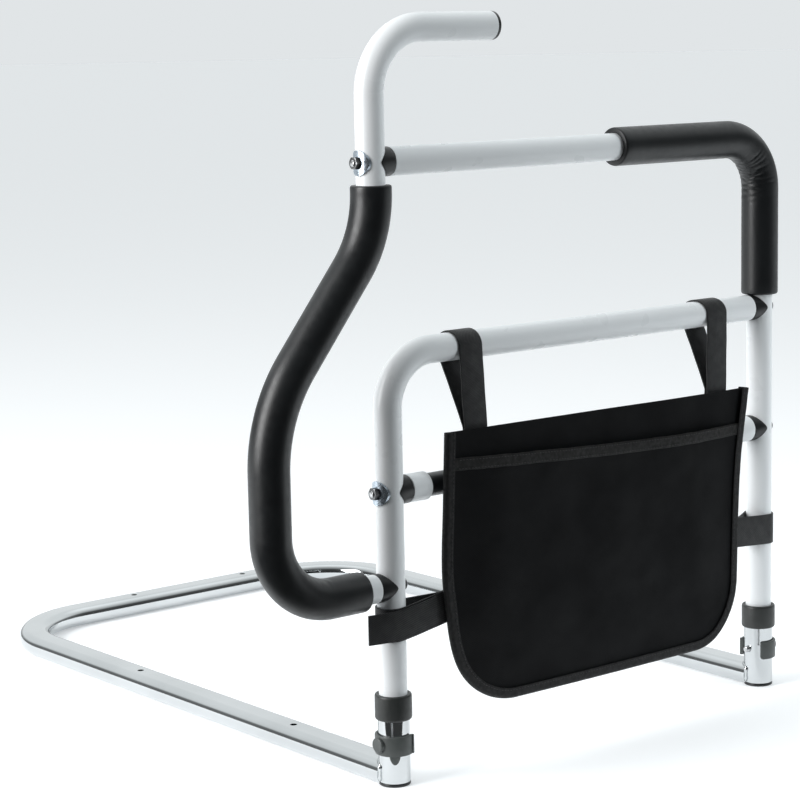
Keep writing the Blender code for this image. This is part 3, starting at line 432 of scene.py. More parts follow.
def rod(radius, start, end, place=Matrix.Identity(4), sides=64, bm=None):
    """A closed rod along a place's Z, from start to end, in a new mesh or added to one."""
    bm = bm or bmesh.new()
    middle = place @ shift(z=(start + end) / 2)
    bmesh.ops.create_cone(
        bm, matrix=middle, depth=end - start, radius1=radius, radius2=radius, segments=sides,
        cap_ends=True,
    )
    return bm


def brick(size, centre):
    bm = bmesh.new()
    bmesh.ops.create_cube(bm, size=1)
    bmesh.ops.scale(bm, vec=size, verts=bm.verts)
    bmesh.ops.translate(bm, vec=centre, verts=bm.verts)
    return bm


def along_x(x, height, toward=1):
    """A place on a post's axis whose Z points along the bar that meets it."""
    return shift(x, 0, height) @ turned_about("Y", toward * QUARTER)


def moved(bm, place):
    bmesh.ops.transform(bm, matrix=place, verts=bm.verts)
    return bm


def soften(bm, width, steps=3, sharper_than=40):
    """Round every edge whose two faces meet at more than an angle."""
    limit = math.radians(sharper_than)
    edges = [e for e in bm.edges if len(e.link_faces) == 2 and e.calc_face_angle(0) > limit]
    bmesh.ops.bevel(
        bm, geom=edges, offset=width, segments=steps, profile=0.5, affect="EDGES", material=-1,
        clamp_overlap=True,
    )
    return bm


# %% [markdown]
# ## From a drawing to a finished piece
#
# A bmesh becomes an object, and holes are cut by a Boolean whose result is kept as a plain mesh, so
# no cutter stays in the scene. Then the piece is moved into the model's frame and gets smooth
# shading with sharp corners, its finish and the body that it rides on. Without its last word, its
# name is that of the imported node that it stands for, unless it is an extra.

# %% Make, cut and present
def block(name, bm):
    bmesh.ops.remove_doubles(bm, verts=bm.verts, dist=0.002)
    bmesh.ops.recalc_face_normals(bm, faces=bm.faces)
    mesh = bpy.data.meshes.new(name)
    bm.to_mesh(mesh)
    bm.free()
    piece = bpy.data.objects.new(name, mesh)
    scene.collection.objects.link(piece)
    return piece


def settle(piece):
    """Keep what the modifiers show as the piece's own mesh."""
    shown = piece.evaluated_get(bpy.context.evaluated_depsgraph_get())
    mesh = bpy.data.meshes.new_from_object(shown)
    piece.modifiers.clear()
    old = piece.data
    piece.data = mesh
    bpy.data.meshes.remove(old)


def combine(piece, bm, operation="DIFFERENCE"):
    tool = block("tool", bm)
    boolean = piece.modifiers.new("shape", "BOOLEAN")
    boolean.operation = operation
    boolean.object = tool
    settle(piece)
    bpy.data.objects.remove(tool)


def thicken(piece, thickness, offset=-1.0):
    wall = piece.modifiers.new("wall", "SOLIDIFY")
    wall.thickness = thickness
    wall.offset = offset
    wall.use_even_offset = True
    settle(piece)


def present(piece, finish, body="hand_rail", crease=32, extra=False):
    mesh = piece.data
    mesh.transform(into_frame)
    mesh.shade_smooth()
    mesh.set_sharp_from_angle(angle=math.radians(crease))
    mesh.materials.clear()
    mesh.materials.append(finish.material)
    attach(piece, body)
    if not extra:
        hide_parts(piece.name.rpartition("_")[0])
    return piece


def present_turned(name, outline, place, finish, sides=64, **how):
    return present(block(name, moved(turned(outline, sides), place)), finish, **how)


# %% [markdown]
# ## Finishes
#
# The rail is steel tube with a gloss white powder coat. Powder melts into a skin with a faint
# orange peel, a few thousandths of a millimetre deep and a few millimetres wide.

# %% White powder coat
white = Finish("white powder coat", "white_coat", (0.82, 0.845, 0.86), 0.3, Specular_IOR_Level=0.4)
white.colours(white.grain(0.09), (0.83, 0.855, 0.87), (0.81, 0.835, 0.85))
white.gloss(white.grain(0.03), 0.27, 0.31)
white.relief(white.grain(0.005, 0.0), 0.003)

# %% [markdown]
# The floor loop is chrome plate over polished tube. Polishing leaves fine lines, and handling dulls
# the plate in soft patches.

# %% Chrome
chrome = Finish("chrome plate", "chrome", (0.63, 0.65, 0.66), 0.1, 1.0)
chrome.colours(chrome.grain(0.07), (0.66, 0.68, 0.69), (0.60, 0.62, 0.63))
chrome.gloss(chrome.grain(0.02, 3.0), 0.05, 0.11)
chrome.relief(chrome.grain(0.008, 1.0), 0.004)
chrome.relief(chrome.grain(0.0007, 1.0, (1, 0.06, 1)), 0.0006)

# %% [markdown]
# The foam grips have a matt, nearly black skin. Light picks out its tiny cells and the soft lumps
# that moulding leaves.

# %% Foam
foam = Finish("black foam", "foam", (0.008, 0.009, 0.010), 0.5)
foam.colours(foam.grain(0.03), (0.006, 0.007, 0.008), (0.010, 0.0115, 0.0125))
foam.gloss(foam.grain(0.006), 0.34, 0.44)
foam.relief(foam.grain(0.0011, 3.0), 0.05)
foam.relief(foam.grain(0.02), 0.15)

# %% [markdown]
# Moulded plastic has a spark-eroded skin, finer than the foam's. The clips and collars are a lighter
# dark grey than the saddles and plugs. Plated screws keep a slightly uneven, brushed look.

# %% Plastics and small metal
def even_finish(name, slot, colour, roughness, metallic, lump, depth):
    """A finish whose tone, gloss and relief vary by small lumps of one size in metres."""
    made = Finish(name, slot, colour, roughness, metallic)
    made.colours(made.grain(lump * 3), colour, [tone * 0.8 for tone in colour])
    made.gloss(made.grain(lump), roughness * 0.8, roughness * 1.2)
    made.relief(made.grain(lump / 6), depth)
    return made


black_plastic = even_finish(
    "black plastic", "black_plastic", (0.012, 0.013, 0.014), 0.38, 0.0, 0.004, 0.015
)
grey_plastic = even_finish(
    "dark grey plastic", "grey_plastic", (0.070, 0.078, 0.076), 0.42, 0.0, 0.004, 0.02
)
collar_plastic = even_finish(
    "collar plastic", "grey_plastic", (0.028, 0.031, 0.030), 0.42, 0.0, 0.004, 0.02
)
dark_coat = even_finish("dark tube coat", "dark_coat", (0.034, 0.038, 0.042), 0.32, 0.0, 0.008, 0.01)
bright_steel = even_finish("bright steel", "bright_steel", (0.64, 0.65, 0.66), 0.26, 1.0, 0.002, 0.004)
zinc = even_finish("bright zinc plate", "zinc", (0.56, 0.64, 0.72), 0.28, 1.0, 0.003, 0.006)
dark_zinc = even_finish("dark zinc plate", "dark_zinc", (0.20, 0.205, 0.21), 0.32, 1.0, 0.002, 0.006)

# %% [markdown]
# The pouch is a fine black twill. A twill shows as close slanting ridges, which run here up to the
# right across the flat of the bag, crossed by weaker ones that break them into threads.

# %% Pouch cloth
cloth = Finish(
    "pouch cloth", "pouch_cloth", (0.006, 0.0065, 0.007), 0.8, Sheen_Weight=0.03, Sheen_Roughness=0.4,
    Specular_IOR_Level=0.12,
)
slant_up = cloth.maths("SUBTRACT", cloth.axis("Z"), cloth.axis("X"))
slant_down = cloth.maths("ADD", cloth.axis("Z"), cloth.axis("X"))
crossings = cloth.maths("ADD", cloth.ridges(slant_down, 0.8 * MM), 1.0)
threads = cloth.maths("MULTIPLY", cloth.ridges(slant_up, 1.9 * MM), crossings)
faded = cloth.maths("MULTIPLY", threads, cloth.grain(0.03))
cloth.colours(faded, (0.0035, 0.0038, 0.0042), (0.009, 0.0095, 0.0105))
cloth.gloss(cloth.grain(0.05), 0.65, 0.8)
cloth.relief(threads, 0.06)
cloth.relief(cloth.grain(0.012), 0.25)

# %% [markdown]
# Binding tape is ribbed across its width, and webbing is a heavier twill. Both follow the cloth:
# the first value runs across the tape and the second along it.

# %% Tape, webbing and thread
def ribbed(name, dark, light):
    made = Finish(name, "binding_tape", light, 0.7, woven=True)
    ribs = made.ridges(made.axis("Y"), 0.9 * MM)
    made.colours(made.maths("MULTIPLY", ribs, made.grain(0.003)), dark, light)
    made.gloss(made.grain(0.004), 0.6, 0.8)
    made.relief(ribs, 0.12)
    made.relief(made.grain(0.004), 0.3)
    return made


tape = ribbed("binding tape", (0.0035, 0.0035, 0.004), (0.0135, 0.013, 0.013))
hem_tape = ribbed("hem tape", (0.0025, 0.0025, 0.0024), (0.023, 0.0215, 0.02))

webbing = Finish("black webbing", "webbing", (0.02, 0.021, 0.022), 0.65, woven=True, Sheen_Weight=0.1)
slant = webbing.maths("ADD", webbing.axis("X"), webbing.maths("MULTIPLY", webbing.axis("Y"), 0.7))
crosswise = webbing.ridges(webbing.axis("Y"), 1.1 * MM)
twill = webbing.maths("MULTIPLY", webbing.ridges(slant, 1.7 * MM), crosswise)
webbing.colours(twill, (0.007, 0.0075, 0.008), (0.036, 0.037, 0.039))
webbing.gloss(webbing.grain(0.01), 0.55, 0.75)
webbing.relief(twill, 0.2)

thread = even_finish("black thread", "binding_tape", (0.045, 0.045, 0.046), 0.6, 0.0, 0.002, 0.05)

# %% [markdown]
# ## The floor loop
#
# One length of flat-oval tube is bent twice, so that it reaches under the mattress and comes back.
# The swept shell gets a wall inward, so drilling shows the wall's edge in each hole.

# %% Floor loop
LOOP_WIDTH = 34.0
LOOP_HEIGHT = 21.0
LOOP_CORNER = 9.5
LOOP_WALL = 1.8
LOOP_BEND = 100.0
LOOP_HOLE = 3.25
ARM_START = 4.0
ARM_HOLES = (150, 411)
FAR_BAR = 712.0 - LOOP_WIDTH / 2
FAR_BAR_HOLES = (176, 330)
STUB_RADIUS = 14.3
GAP = 0.3

arm = (FAR_BAR - LOOP_BEND - ARM_START, 1)
corner = (LOOP_BEND, QUARTER, 40)
far_bar = (POST_SPACING - 2 * LOOP_BEND, 1)
start = place_at((0, ARM_START, LOOP_HEIGHT / 2), (0, 1, 0), (1, 0, 0))
route = run(start, arm, corner, far_bar, corner, arm)
bm = bmesh.new()
sweep(bm, box_section(bm, route[0], LOOP_WIDTH, LOOP_HEIGHT, LOOP_CORNER, 10), route)
loop = block("base_loop_tube", bm)
thicken(loop, LOOP_WALL)

drills = bmesh.new()
holes = [(x, y) for side, x in SIDES for y in ARM_HOLES] + [(x, FAR_BAR) for x in FAR_BAR_HOLES]
for x, y in holes:
    rod(LOOP_HOLE, LOOP_HEIGHT / 2, 1.5 * LOOP_HEIGHT, shift(x, y), 32, drills)
for side, x in SIDES:
    rod(STUB_RADIUS + GAP, -30, 30, shift(x, 0, LOOP_HEIGHT / 2), 64, drills)
combine(loop, drills)
present(loop, chrome, "floor_loop")

# %% [markdown]
# Each arm is welded to the stub that it meets. The bead runs up one side of the arm, over its top
# and down the other side, and its ripples were laid down one after another.

# %% Weld beads
BEAD_RADIUS = 1.5
BEAD_REACH = STUB_RADIUS - 0.2

# How far across the arm and how high the bead's points lie: up one side, then mirrored.
spots = [(-BEAD_REACH - 0.6, height) for height in (4.0, 7.0, 10.0, 13.0, 16.0)]
for step in range(19):
    turn = math.radians(140 - 50 * step / 18)
    across = LOOP_CORNER * math.cos(turn) - (LOOP_WIDTH / 2 - LOOP_CORNER)
    spots.append((across, LOOP_HEIGHT - LOOP_CORNER * (1 - math.sin(turn))))
spots += [(-5.0, LOOP_HEIGHT), (-2.5, LOOP_HEIGHT)]
spots += [(0.0, LOOP_HEIGHT)] + [(-across, height) for across, height in reversed(spots)]
ripples = [1 + 0.22 * math.sin(step * 1.9) for step in range(len(spots))]
ripples[0] = ripples[-1] = 0.3
for side, x in SIDES:
    points = []
    for across, height in spots:
        back = math.sqrt(max(BEAD_REACH * BEAD_REACH - across * across, 0.0))
        points.append((x + across, max(back, ARM_START - 0.8), height))
    route = route_through(points, (0, 1, 0))
    bead, rings = bar(lambda bm, at: round_section(bm, at, BEAD_RADIUS, 16), route, ripples)
    present(block(f"weld_bead_{side}", bead), chrome, "floor_loop", 60, extra=True)

# %% [markdown]
# ## The sockets
#
# A short stub of chromed tube stands at the front of each arm. A plug closes its foot, a collar
# guides the post at its mouth, and a saw slot lets the mouth spring a little.

# %% Stubs, plugs and collars
STUB_BORE = 13.1
STUB_TOP = 79.6
PIN_HEIGHT = 38.5
PIN_HOLE = 3.3
SLOT_WIDTH = 1.8
SLOT_FOOT = 43
SLOT_TURN = math.radians(-136)

# Outlines of turned pieces are points of (radius, height).
STUB_OUTLINE = [
    (STUB_BORE, 3.3), (13.4, 3.0), (14.0, 3.0), (STUB_RADIUS, 3.3),
    (STUB_RADIUS, STUB_TOP - 0.3), (14.0, STUB_TOP), (13.4, STUB_TOP), (STUB_BORE, STUB_TOP - 0.3),
]
PLUG_OUTLINE = [
    (0, 0), (13.2, 0), (13.9, 0.2), (14.25, 0.6), (14.3, 1.2), (14.3, 2.2), (14.1, 2.6), (13.8, 2.7),
    (12.8, 2.7), (12.8, 5.2), (12.4, 5.6), (0, 5.6),
]
COLLAR_OUTLINE = [
    (14.6, 60.4), (15.0, 60.0), (15.6, 60.15), (16.15, 60.65), (16.5, 61.5), (16.6, 62.6),
    (16.6, 80.7), (16.45, 81.7), (16.05, 82.5), (15.4, 82.9), (13.7, 82.9), (13.2, 82.4),
    (13.2, 79.9), (14.6, 79.9),
]
for side, x in SIDES:
    place = shift(x)
    stub = block(f"socket_{side}_stub", moved(turned(STUB_OUTLINE), place))
    combine(stub, rod(PIN_HOLE, -20, 20, along_x(x, PIN_HEIGHT), 32))
    slot = brick((STUB_RADIUS, SLOT_WIDTH, 2 * (STUB_TOP - SLOT_FOOT)), (STUB_RADIUS, 0, STUB_TOP))
    combine(stub, moved(slot, place @ turned_about("Z", SLOT_TURN)))
    present(stub, chrome, "floor_loop")
    plug, collar = f"floor_plug_{side}_moulding", f"collar_{side}_moulding"
    present_turned(plug, PLUG_OUTLINE, place, black_plastic, body="floor_loop")
    present_turned(collar, COLLAR_OUTLINE, place, collar_plastic, body="floor_loop", crease=50)

# %% [markdown]
# ## The lock clips
#
# A springy plastic strap hugs each stub, and the steel pin moulded into its round boss goes through
# stub and post. The clip is a rounded section swept round an arc, with the boss, the pull tongue
# and the lifted lip at its end joined on as one moulding. Its heights are counted from the pin.

# %% Clips and pins
CLIP_INNER = 14.6
CLIP_OUTER = 17.2
CLIP_LOW = -9.7
CLIP_HIGH = 8.3
CLIP_WIDTH = CLIP_HIGH - CLIP_LOW
CLIP_MIDDLE = (CLIP_LOW + CLIP_HIGH) / 2
CLIP_HALF_TURN = math.radians(128)
TONGUE_TURN = math.pi + math.radians(53)
LIP_TURN = math.pi + CLIP_HALF_TURN - math.radians(5)
BOSS_FACE = 20.0
PIN_END = STUB_RADIUS + 4.7
BOSS_OUTLINE = [
    (0, 14.9), (6.8, 14.9), (6.8, 18.9), (6.6, 19.5), (6.1, 19.9), (5.5, BOSS_FACE), (4.9, 19.95),
    (0, 19.8),
]
PIN_OUTLINE = [
    (0, -18.6), (3.0, -18.6), (3.0, PIN_END - 0.9), (2.8, PIN_END - 0.4), (2.2, PIN_END), (0, PIN_END),
]
upright = turned_about("Y", QUARTER)


def clip_strap():
    middle = (CLIP_INNER + CLIP_OUTER) / 2
    start = math.pi - CLIP_HALF_TURN
    first = Vector((math.cos(start), math.sin(start), 0))
    spot = middle * first + Vector((0, 0, CLIP_MIDDLE))
    place = place_at(spot, Vector((0, 0, 1)).cross(first), -first)
    route = run(place, (middle, 2 * CLIP_HALF_TURN, 64))
    sizes = [0.86, 0.96] + [1.0] * (len(route) - 4) + [0.96, 0.86]
    thickness = CLIP_OUTER - CLIP_INNER
    return bar(lambda bm, at: box_section(bm, at, thickness, CLIP_WIDTH, 1.0, 4), route, sizes)[0]


def clip_tongue():
    """An oval plate, which lies against the strap beside the boss and reaches below it."""
    tongue = bmesh.new()
    bmesh.ops.create_circle(tongue, cap_ends=True, segments=40, radius=1, matrix=upright)
    bmesh.ops.scale(tongue, vec=(1, 5.2, 11.6), verts=tongue.verts)
    bmesh.ops.translate(tongue, vec=(14.75, 0, -5.5), verts=tongue.verts)
    grown = bmesh.ops.extrude_face_region(tongue, geom=list(tongue.faces), use_keep_orig=True)
    lifted = [part for part in grown["geom"] if isinstance(part, bmesh.types.BMVert)]
    bmesh.ops.translate(tongue, vec=(1.8, 0, 0), verts=lifted)
    bmesh.ops.recalc_face_normals(tongue, faces=tongue.faces)
    return soften(tongue, 0.5)


for side, x, heading in (("left", 0, 0), ("right", POST_SPACING, math.pi)):
    place = shift(x, 0, PIN_HEIGHT) @ turned_about("Z", heading)
    clip = block(f"lock_clip_{side}_moulding", clip_strap())
    combine(clip, moved(turned(BOSS_OUTLINE), turned_about("Y", -QUARTER)), "UNION")
    combine(clip, moved(clip_tongue(), turned_about("Z", TONGUE_TURN)), "UNION")
    lip = brick((2.6, 3.0, CLIP_WIDTH - 0.8), (CLIP_OUTER - 0.1, 0, CLIP_MIDDLE))
    combine(clip, moved(soften(lip, 0.6), turned_about("Z", LIP_TURN)), "UNION")
    combine(clip, rod(PIN_HOLE, -18.9, 0, upright, 32))
    clip.data.transform(place)
    present(clip, grey_plastic, f"{side}_clip")
    pin = f"lock_pin_{side}_steel"
    present_turned(pin, PIN_OUTLINE, place @ upright, bright_steel, 32, body=f"{side}_clip")

# %% [markdown]
# ## The white tubes
#
# Three bent tubes make the rail. Each one follows its bends as a route, with the pipe's wall drawn
# on the way back, and is then drilled for its lock pins and bolts.

# %% Heights and bends of the rail
TUBE_RADIUS = 12.7
TUBE_BORE = 11.1
POST_FOOT = 6.0
MID_BAR = 264.3
LOWER_BAR = 384.9
UPPER_BAR = 551.3
GRIP = 664.5
RETURN = 180.0
BAR_END = 18.7
PIN_HOLES = [PIN_HEIGHT, 25.8, 13.1]
HANDLE_X = -13.0
LOWER_BEND = 49
UPPER_BEND = 50
GRIP_BEND = 57


# Half the length of a cutter that goes right through a tube
THROUGH = 30


def drilled_tube(name, x, heights, start, *legs):
    bm, rings = pipe(run(start, *legs), TUBE_RADIUS, TUBE_BORE)
    tube = block(name, bm)
    for height in heights:
        combine(tube, rod(PIN_HOLE, -THROUGH, THROUGH, along_x(x, height), 32))
    present(tube, white)


# %% Arch tube and right frame tube
POSTS = (
    ("arch_tube", 0, 1, LOWER_BAR, LOWER_BEND, 0, [RETURN, MID_BAR]),
    ("right_frame_tube", POST_SPACING, -1, UPPER_BAR, UPPER_BEND, HANDLE_X, [MID_BAR, LOWER_BAR]),
)
for name, x, toward, height, bend, far_post, bolts in POSTS:
    start = place_at((x, 0, POST_FOOT), (0, 0, 1), (toward, 0, 0))
    bar_length = POST_SPACING - bend - BAR_END - far_post
    legs = (height - bend - POST_FOOT, 1), (bend, QUARTER, 32), (bar_length, 1)
    drilled_tube(f"{name}_painted", x, PIN_HOLES + bolts, start, *legs)

# %% [markdown]
# The third tube is the handle. It comes down from the top grip, swings out to the side for the long
# foam grip, and returns low down to the left post.

# %% Handle tube
SWEEP_START = 525.0
SWEEP_ANGLE = math.radians(38.9)
UPPER_SWEEP = 102.0
LOWER_SWEEP = 141.0
SWEEP_REACH = 115.5
RETURN_BEND = 61.4
GRIP_END = 127.6
CAP_HEAD = 3


def side_handle(start_height, end_x):
    """Legs down the drop and the swept side handle, and along the run back to the left post."""
    radii = UPPER_SWEEP + LOWER_SWEEP
    diagonal = (SWEEP_REACH - radii * (1 - math.cos(SWEEP_ANGLE))) / math.sin(SWEEP_ANGLE)
    drop = radii * math.sin(SWEEP_ANGLE) + diagonal * math.cos(SWEEP_ANGLE)
    return (
        (start_height - SWEEP_START, 1),
        (UPPER_SWEEP, -SWEEP_ANGLE, 24),
        (diagonal, 4),
        (LOWER_SWEEP, SWEEP_ANGLE, 24),
        (SWEEP_START - drop - RETURN_BEND - RETURN, 3),
        (RETURN_BEND, QUARTER, 40),
        (end_x - HANDLE_X + SWEEP_REACH - RETURN_BEND, 1),
    )


tube_end = GRIP_END - CAP_HEAD - GAP
drilled_tube(
    "handle_tube_painted", HANDLE_X, [UPPER_BAR],
    place_at((tube_end, 0, GRIP), (-1, 0, 0), (0, 0, -1)),
    (tube_end - HANDLE_X - GRIP_BEND, 1),
    (GRIP_BEND, QUARTER, 32),
    *side_handle(GRIP - GRIP_BEND, -BAR_END),
)

# %% [markdown]
# A plastic cap closes the top grip. The thin dark crossbar behind the pouch sits in two white end
# sleeves.

# %% End cap, crossbar and sleeves
CROSSBAR_RADIUS = 10.5
CROSSBAR_BORE = 9.0
CAP_OUTLINE = [
    (0, 0.5), (9.5, 0.45), (11.4, 0.15), (12.1, 0), (12.5, 0.25), (12.7, 0.9), (12.7, CAP_HEAD),
    (10.8, CAP_HEAD), (10.8, 14.5), (10.3, 15.0), (0, 15.0),
]
SLEEVE_OUTLINE = [
    (10.8, 0.3), (11.1, 0), (12.3, 0), (12.7, 0.4), (12.7, 20.7), (12.5, 21.1), (12.1, 21.3),
    (11.2, 21.3), (10.8, 20.9),
]
present_turned("handle_end_cap_moulding", CAP_OUTLINE, along_x(GRIP_END, GRIP, -1), black_plastic)
route = run(place_at((BAR_END, 0, MID_BAR), (1, 0, 0), (0, 0, 1)), (POST_SPACING - 2 * BAR_END, 1))
bm, rings = pipe(route, CROSSBAR_RADIUS, CROSSBAR_BORE)
present(block("mid_crossbar_tube", bm), dark_coat)
for side, x, toward in (("left", BAR_END, 1), ("right", POST_SPACING - BAR_END, -1)):
    present_turned(f"mid_sleeve_{side}_tube", SLEEVE_OUTLINE, along_x(x, MID_BAR, toward), white)

# %% [markdown]
# ## The foam grips
#
# Foam sleeves are pushed over the bent tubes. Inside a bend the foam is pressed together and creases
# across the grip. Points of the mesh are drawn in there along a row of rounded folds with sharp
# valleys, which noise shifts and breaks up.

# %% Foam sleeves with creased bends
FOAM_RADIUS = 18.0
FOAM_BORE = 13.0
END_ROUNDING = ((0.0, 16.6), (0.25, 17.2), (0.7, 17.6), (1.4, 17.85), (2.4, 18.0))
END_DEPTH = END_ROUNDING[-1][0]


def smooth(share):
    share = min(max(share, 0.0), 1.0)
    return share * share * (3 - 2 * share)


def lumps(*spot):
    """Soft noise between -1 and 1, with lumps about as large as 1."""
    return noise.noise(Vector(spot))


def foam_sleeve(name, start, legs, begin, end, fold, pitch, reach):
    """Foam along legs between its rounded ends.

    It is creased from begin to end along the route, with folds of a depth and pitch in millimetres
    that reach past the grip's middle by a share of its radius."""
    route = [start @ shift(z=inset) for inset, radius in END_ROUNDING[:-1]]
    route += run(start @ shift(z=END_DEPTH), *legs)
    last = route[-1]
    route += [last @ shift(z=END_DEPTH - inset) for inset, radius in END_ROUNDING[-2::-1]]
    ends = [radius / FOAM_RADIUS for inset, radius in END_ROUNDING]
    sizes = ends + [1.0] * (len(route) - 2 * len(ends)) + ends[::-1]
    bm, rings = pipe(route, FOAM_RADIUS, FOAM_BORE, 72, sizes)
    for distance, place, verts in rings:
        if not begin < distance < end:
            continue
        back = place.inverted()
        fade = smooth((distance - begin) / 30) * smooth((end - distance) / 30)
        for vert in verts:
            local = back @ vert.co
            inside = max((local.x / FOAM_RADIUS + reach) / (1 + reach), 0.0) ** 1.5
            delay = 2.2 * lumps(distance / 11, local.y / 9, 3.0)
            ridge = abs(math.sin(math.pi * distance / pitch + delay))
            broken = max(0.6 + 1.1 * lumps(distance / 8, local.y / 7, 8.0), 0.0)
            kept = 1 - fold * fade * broken * inside * (1 - ridge) / FOAM_RADIUS
            local.x *= kept
            local.y *= kept
            vert.co = place @ local
    present(block(name, bm), foam, crease=60)


# %% Side grip and top grip
# Where the grips' end faces lie, and the length of the top grip's foot, which needs few rings
SIDE_FOAM_TOP = 532.0
SIDE_FOAM_END = -33.0
TOP_FOAM_FOOT = 397.9
TOP_FOAM_END = 275.5
PLAIN_FOAM = 55

foam_sleeve(
    "foam_grip_side_sleeve", place_at((HANDLE_X, 0, SIDE_FOAM_TOP), (0, 0, -1), (1, 0, 0)),
    side_handle(SIDE_FOAM_TOP - END_DEPTH, SIDE_FOAM_END - END_DEPTH),
    begin=330, end=440, fold=0.45, pitch=8.0, reach=0.15,
)
top_legs = (
    (PLAIN_FOAM - END_DEPTH, 10),
    (UPPER_BAR - UPPER_BEND - TOP_FOAM_FOOT - PLAIN_FOAM, 42),
    (UPPER_BEND, QUARTER, 96),
    (POST_SPACING - UPPER_BEND - TOP_FOAM_END - END_DEPTH, 20),
)
foam_sleeve(
    "foam_grip_top_sleeve", place_at((POST_SPACING, 0, TOP_FOAM_FOOT), (0, 0, 1), (-1, 0, 0)),
    top_legs, begin=82, end=172, fold=0.85, pitch=6.5, reach=0.5,
)

# %% [markdown]
# ## Saddles and fasteners
#
# A black saddle lies between a bar's end and the post that it is bolted to. It is a plug as thick
# as the bar, coped to the post, so that two wings taper round the post's sides. A curved washer, a
# nut and a stud's end show on the left of two joints, and a round bolt head on the other three.

# %% Saddles and inserts
SADDLE_SEAT = 18.4
SADDLE_COPE = 13.0
BOLT_HOLE = 3.3
SADDLE_OUTLINE = [
    (0, 1.0), (12.85, 1.0), (12.85, 17.6), (12.6, 18.2), (12.0, SADDLE_SEAT), (0, SADDLE_SEAT),
]
JOINTS = (
    ("upper", HANDLE_X, UPPER_BAR, 1, TUBE_BORE),
    ("lower", POST_SPACING, LOWER_BAR, -1, TUBE_BORE),
    ("mid_left", 0, MID_BAR, 1, CROSSBAR_BORE),
    ("mid_right", POST_SPACING, MID_BAR, -1, CROSSBAR_BORE),
    ("handle_end", 0, RETURN, -1, TUBE_BORE),
)
for name, x, height, toward, bore in JOINTS:
    place = along_x(x, height, toward)
    saddle = block(f"saddle_{name}_moulding", moved(turned(SADDLE_OUTLINE), place))
    combine(saddle, rod(SADDLE_COPE, -THROUGH, THROUGH, shift(x, 0, height), 96))
    combine(saddle, rod(BOLT_HOLE, 0, 40, place, 32))
    present(saddle, black_plastic)
    outer = bore - GAP
    insert_outline = [
        (BOLT_HOLE, BAR_END), (outer - 0.5, BAR_END), (outer, BAR_END + 0.5), (outer, BAR_END + 17.5),
        (outer - 0.5, BAR_END + 18), (BOLT_HOLE, BAR_END + 18),
    ]
    present_turned(f"insert_{name}_steel", insert_outline, place, bright_steel, 48)

# %% Bolts, washers, nuts and studs
HEAD_UNDER = 13.0
BOLT_TIP = HEAD_UNDER + BAR_END + 15
BOLT_OUTLINE = [
    (0, -2.8), (1.6, -2.75), (3.2, -2.55), (4.5, -2.1), (5.5, -1.35), (6.1, -0.5), (6.25, -0.1),
    (6.1, 0), (3.0, 0), (3.0, BOLT_TIP - 0.6), (2.4, BOLT_TIP), (0, BOLT_TIP),
]
for name, x, height, toward, bore in JOINTS:
    if name in ("lower", "mid_right", "handle_end"):
        place = along_x(x - toward * HEAD_UNDER, height, toward)
        present_turned(f"bolt_{name}_steel", BOLT_OUTLINE, place, dark_zinc, 48)

WASHER_RADIUS = 10.8
WASHER_OUTSIDE = 14.6
NUT_HALF_WIDTH = 5
NUT_FACE = WASHER_OUTSIDE + GAP
NUT_TOP = NUT_FACE + 4.0
STUD_TIP = NUT_TOP + 1.2
NUT_OUTLINE = [
    (0, NUT_FACE - 1), (7.0, NUT_FACE - 1), (7.0, NUT_TOP - 1.1), (5.0, NUT_TOP), (0, NUT_TOP),
]
STUD_OUTLINE = [
    (0, -STUD_TIP), (1.8, -STUD_TIP), (2.5, -STUD_TIP + 0.2), (3.0, -STUD_TIP + 0.9),
    (3.0, BAR_END + 14.5), (2.5, BAR_END + 15), (0, BAR_END + 15),
]
for suffix, x, height in (("upper", HANDLE_X, UPPER_BAR), ("mid", 0, MID_BAR)):
    place = along_x(x, height, -1)
    post = shift(x, 0, height)
    washer = block(f"washer_{suffix}_plate", rod(WASHER_RADIUS, 5, NUT_FACE + 1, place))
    combine(washer, rod(WASHER_OUTSIDE, -THROUGH, THROUGH, post, 96), "INTERSECT")
    combine(washer, rod(SADDLE_COPE, -THROUGH, THROUGH, post, 96))
    corner = NUT_HALF_WIDTH / math.cos(math.pi / 6)
    nut = block(f"nut_{suffix}_steel", rod(corner, NUT_FACE, NUT_TOP, place, 6))
    combine(nut, moved(turned(NUT_OUTLINE), place), "INTERSECT")
    for piece, finish in ((washer, zinc), (nut, dark_zinc)):
        combine(piece, rod(BOLT_HOLE, 0, 40, place, 32))
        present(piece, finish)
    present_turned(f"stud_{suffix}_steel", STUD_OUTLINE, along_x(x, height), bright_steel, 32)

# %% [markdown]
# ## The pouch
#
# The pouch is two layers of cloth bound together round the sides and bottom. It is cut as a
# rectangle with round lower corners, but it hangs a little askew: its left side bows and its right
# side leans. The cut is drawn first, and one function moves each point to where the cloth hangs.

# %% The cut and how it hangs
POUCH_LEFT = 47.0
POUCH_RIGHT = 430.0
POUCH_TOP = 312.0
POUCH_BOTTOM = 60.0
LEFT_CORNER = 82.0
RIGHT_CORNER = 62.0
POUCH_BACK = -16.5
POUCH_WIDTH = POUCH_RIGHT - POUCH_LEFT
POUCH_HEIGHT = POUCH_TOP - POUCH_BOTTOM

# Heights with how far each side of the bag stands to the right of its cut
LEFT_LEAN = ((60, 1.0), (85, 1.5), (130, 4.0), (186, -1.6), (250, 1.0), (312, 3.8))
RIGHT_LEAN = ((60, -6.0), (82, -9.5), (139, -8.9), (235, -4.6), (312, 7.0))
# Places along the bag with the height of its open mouth there
MOUTH = ((47, 288.5), (150, 284.0), (250, 279.5), (340, 277.5), (430, 277.5))


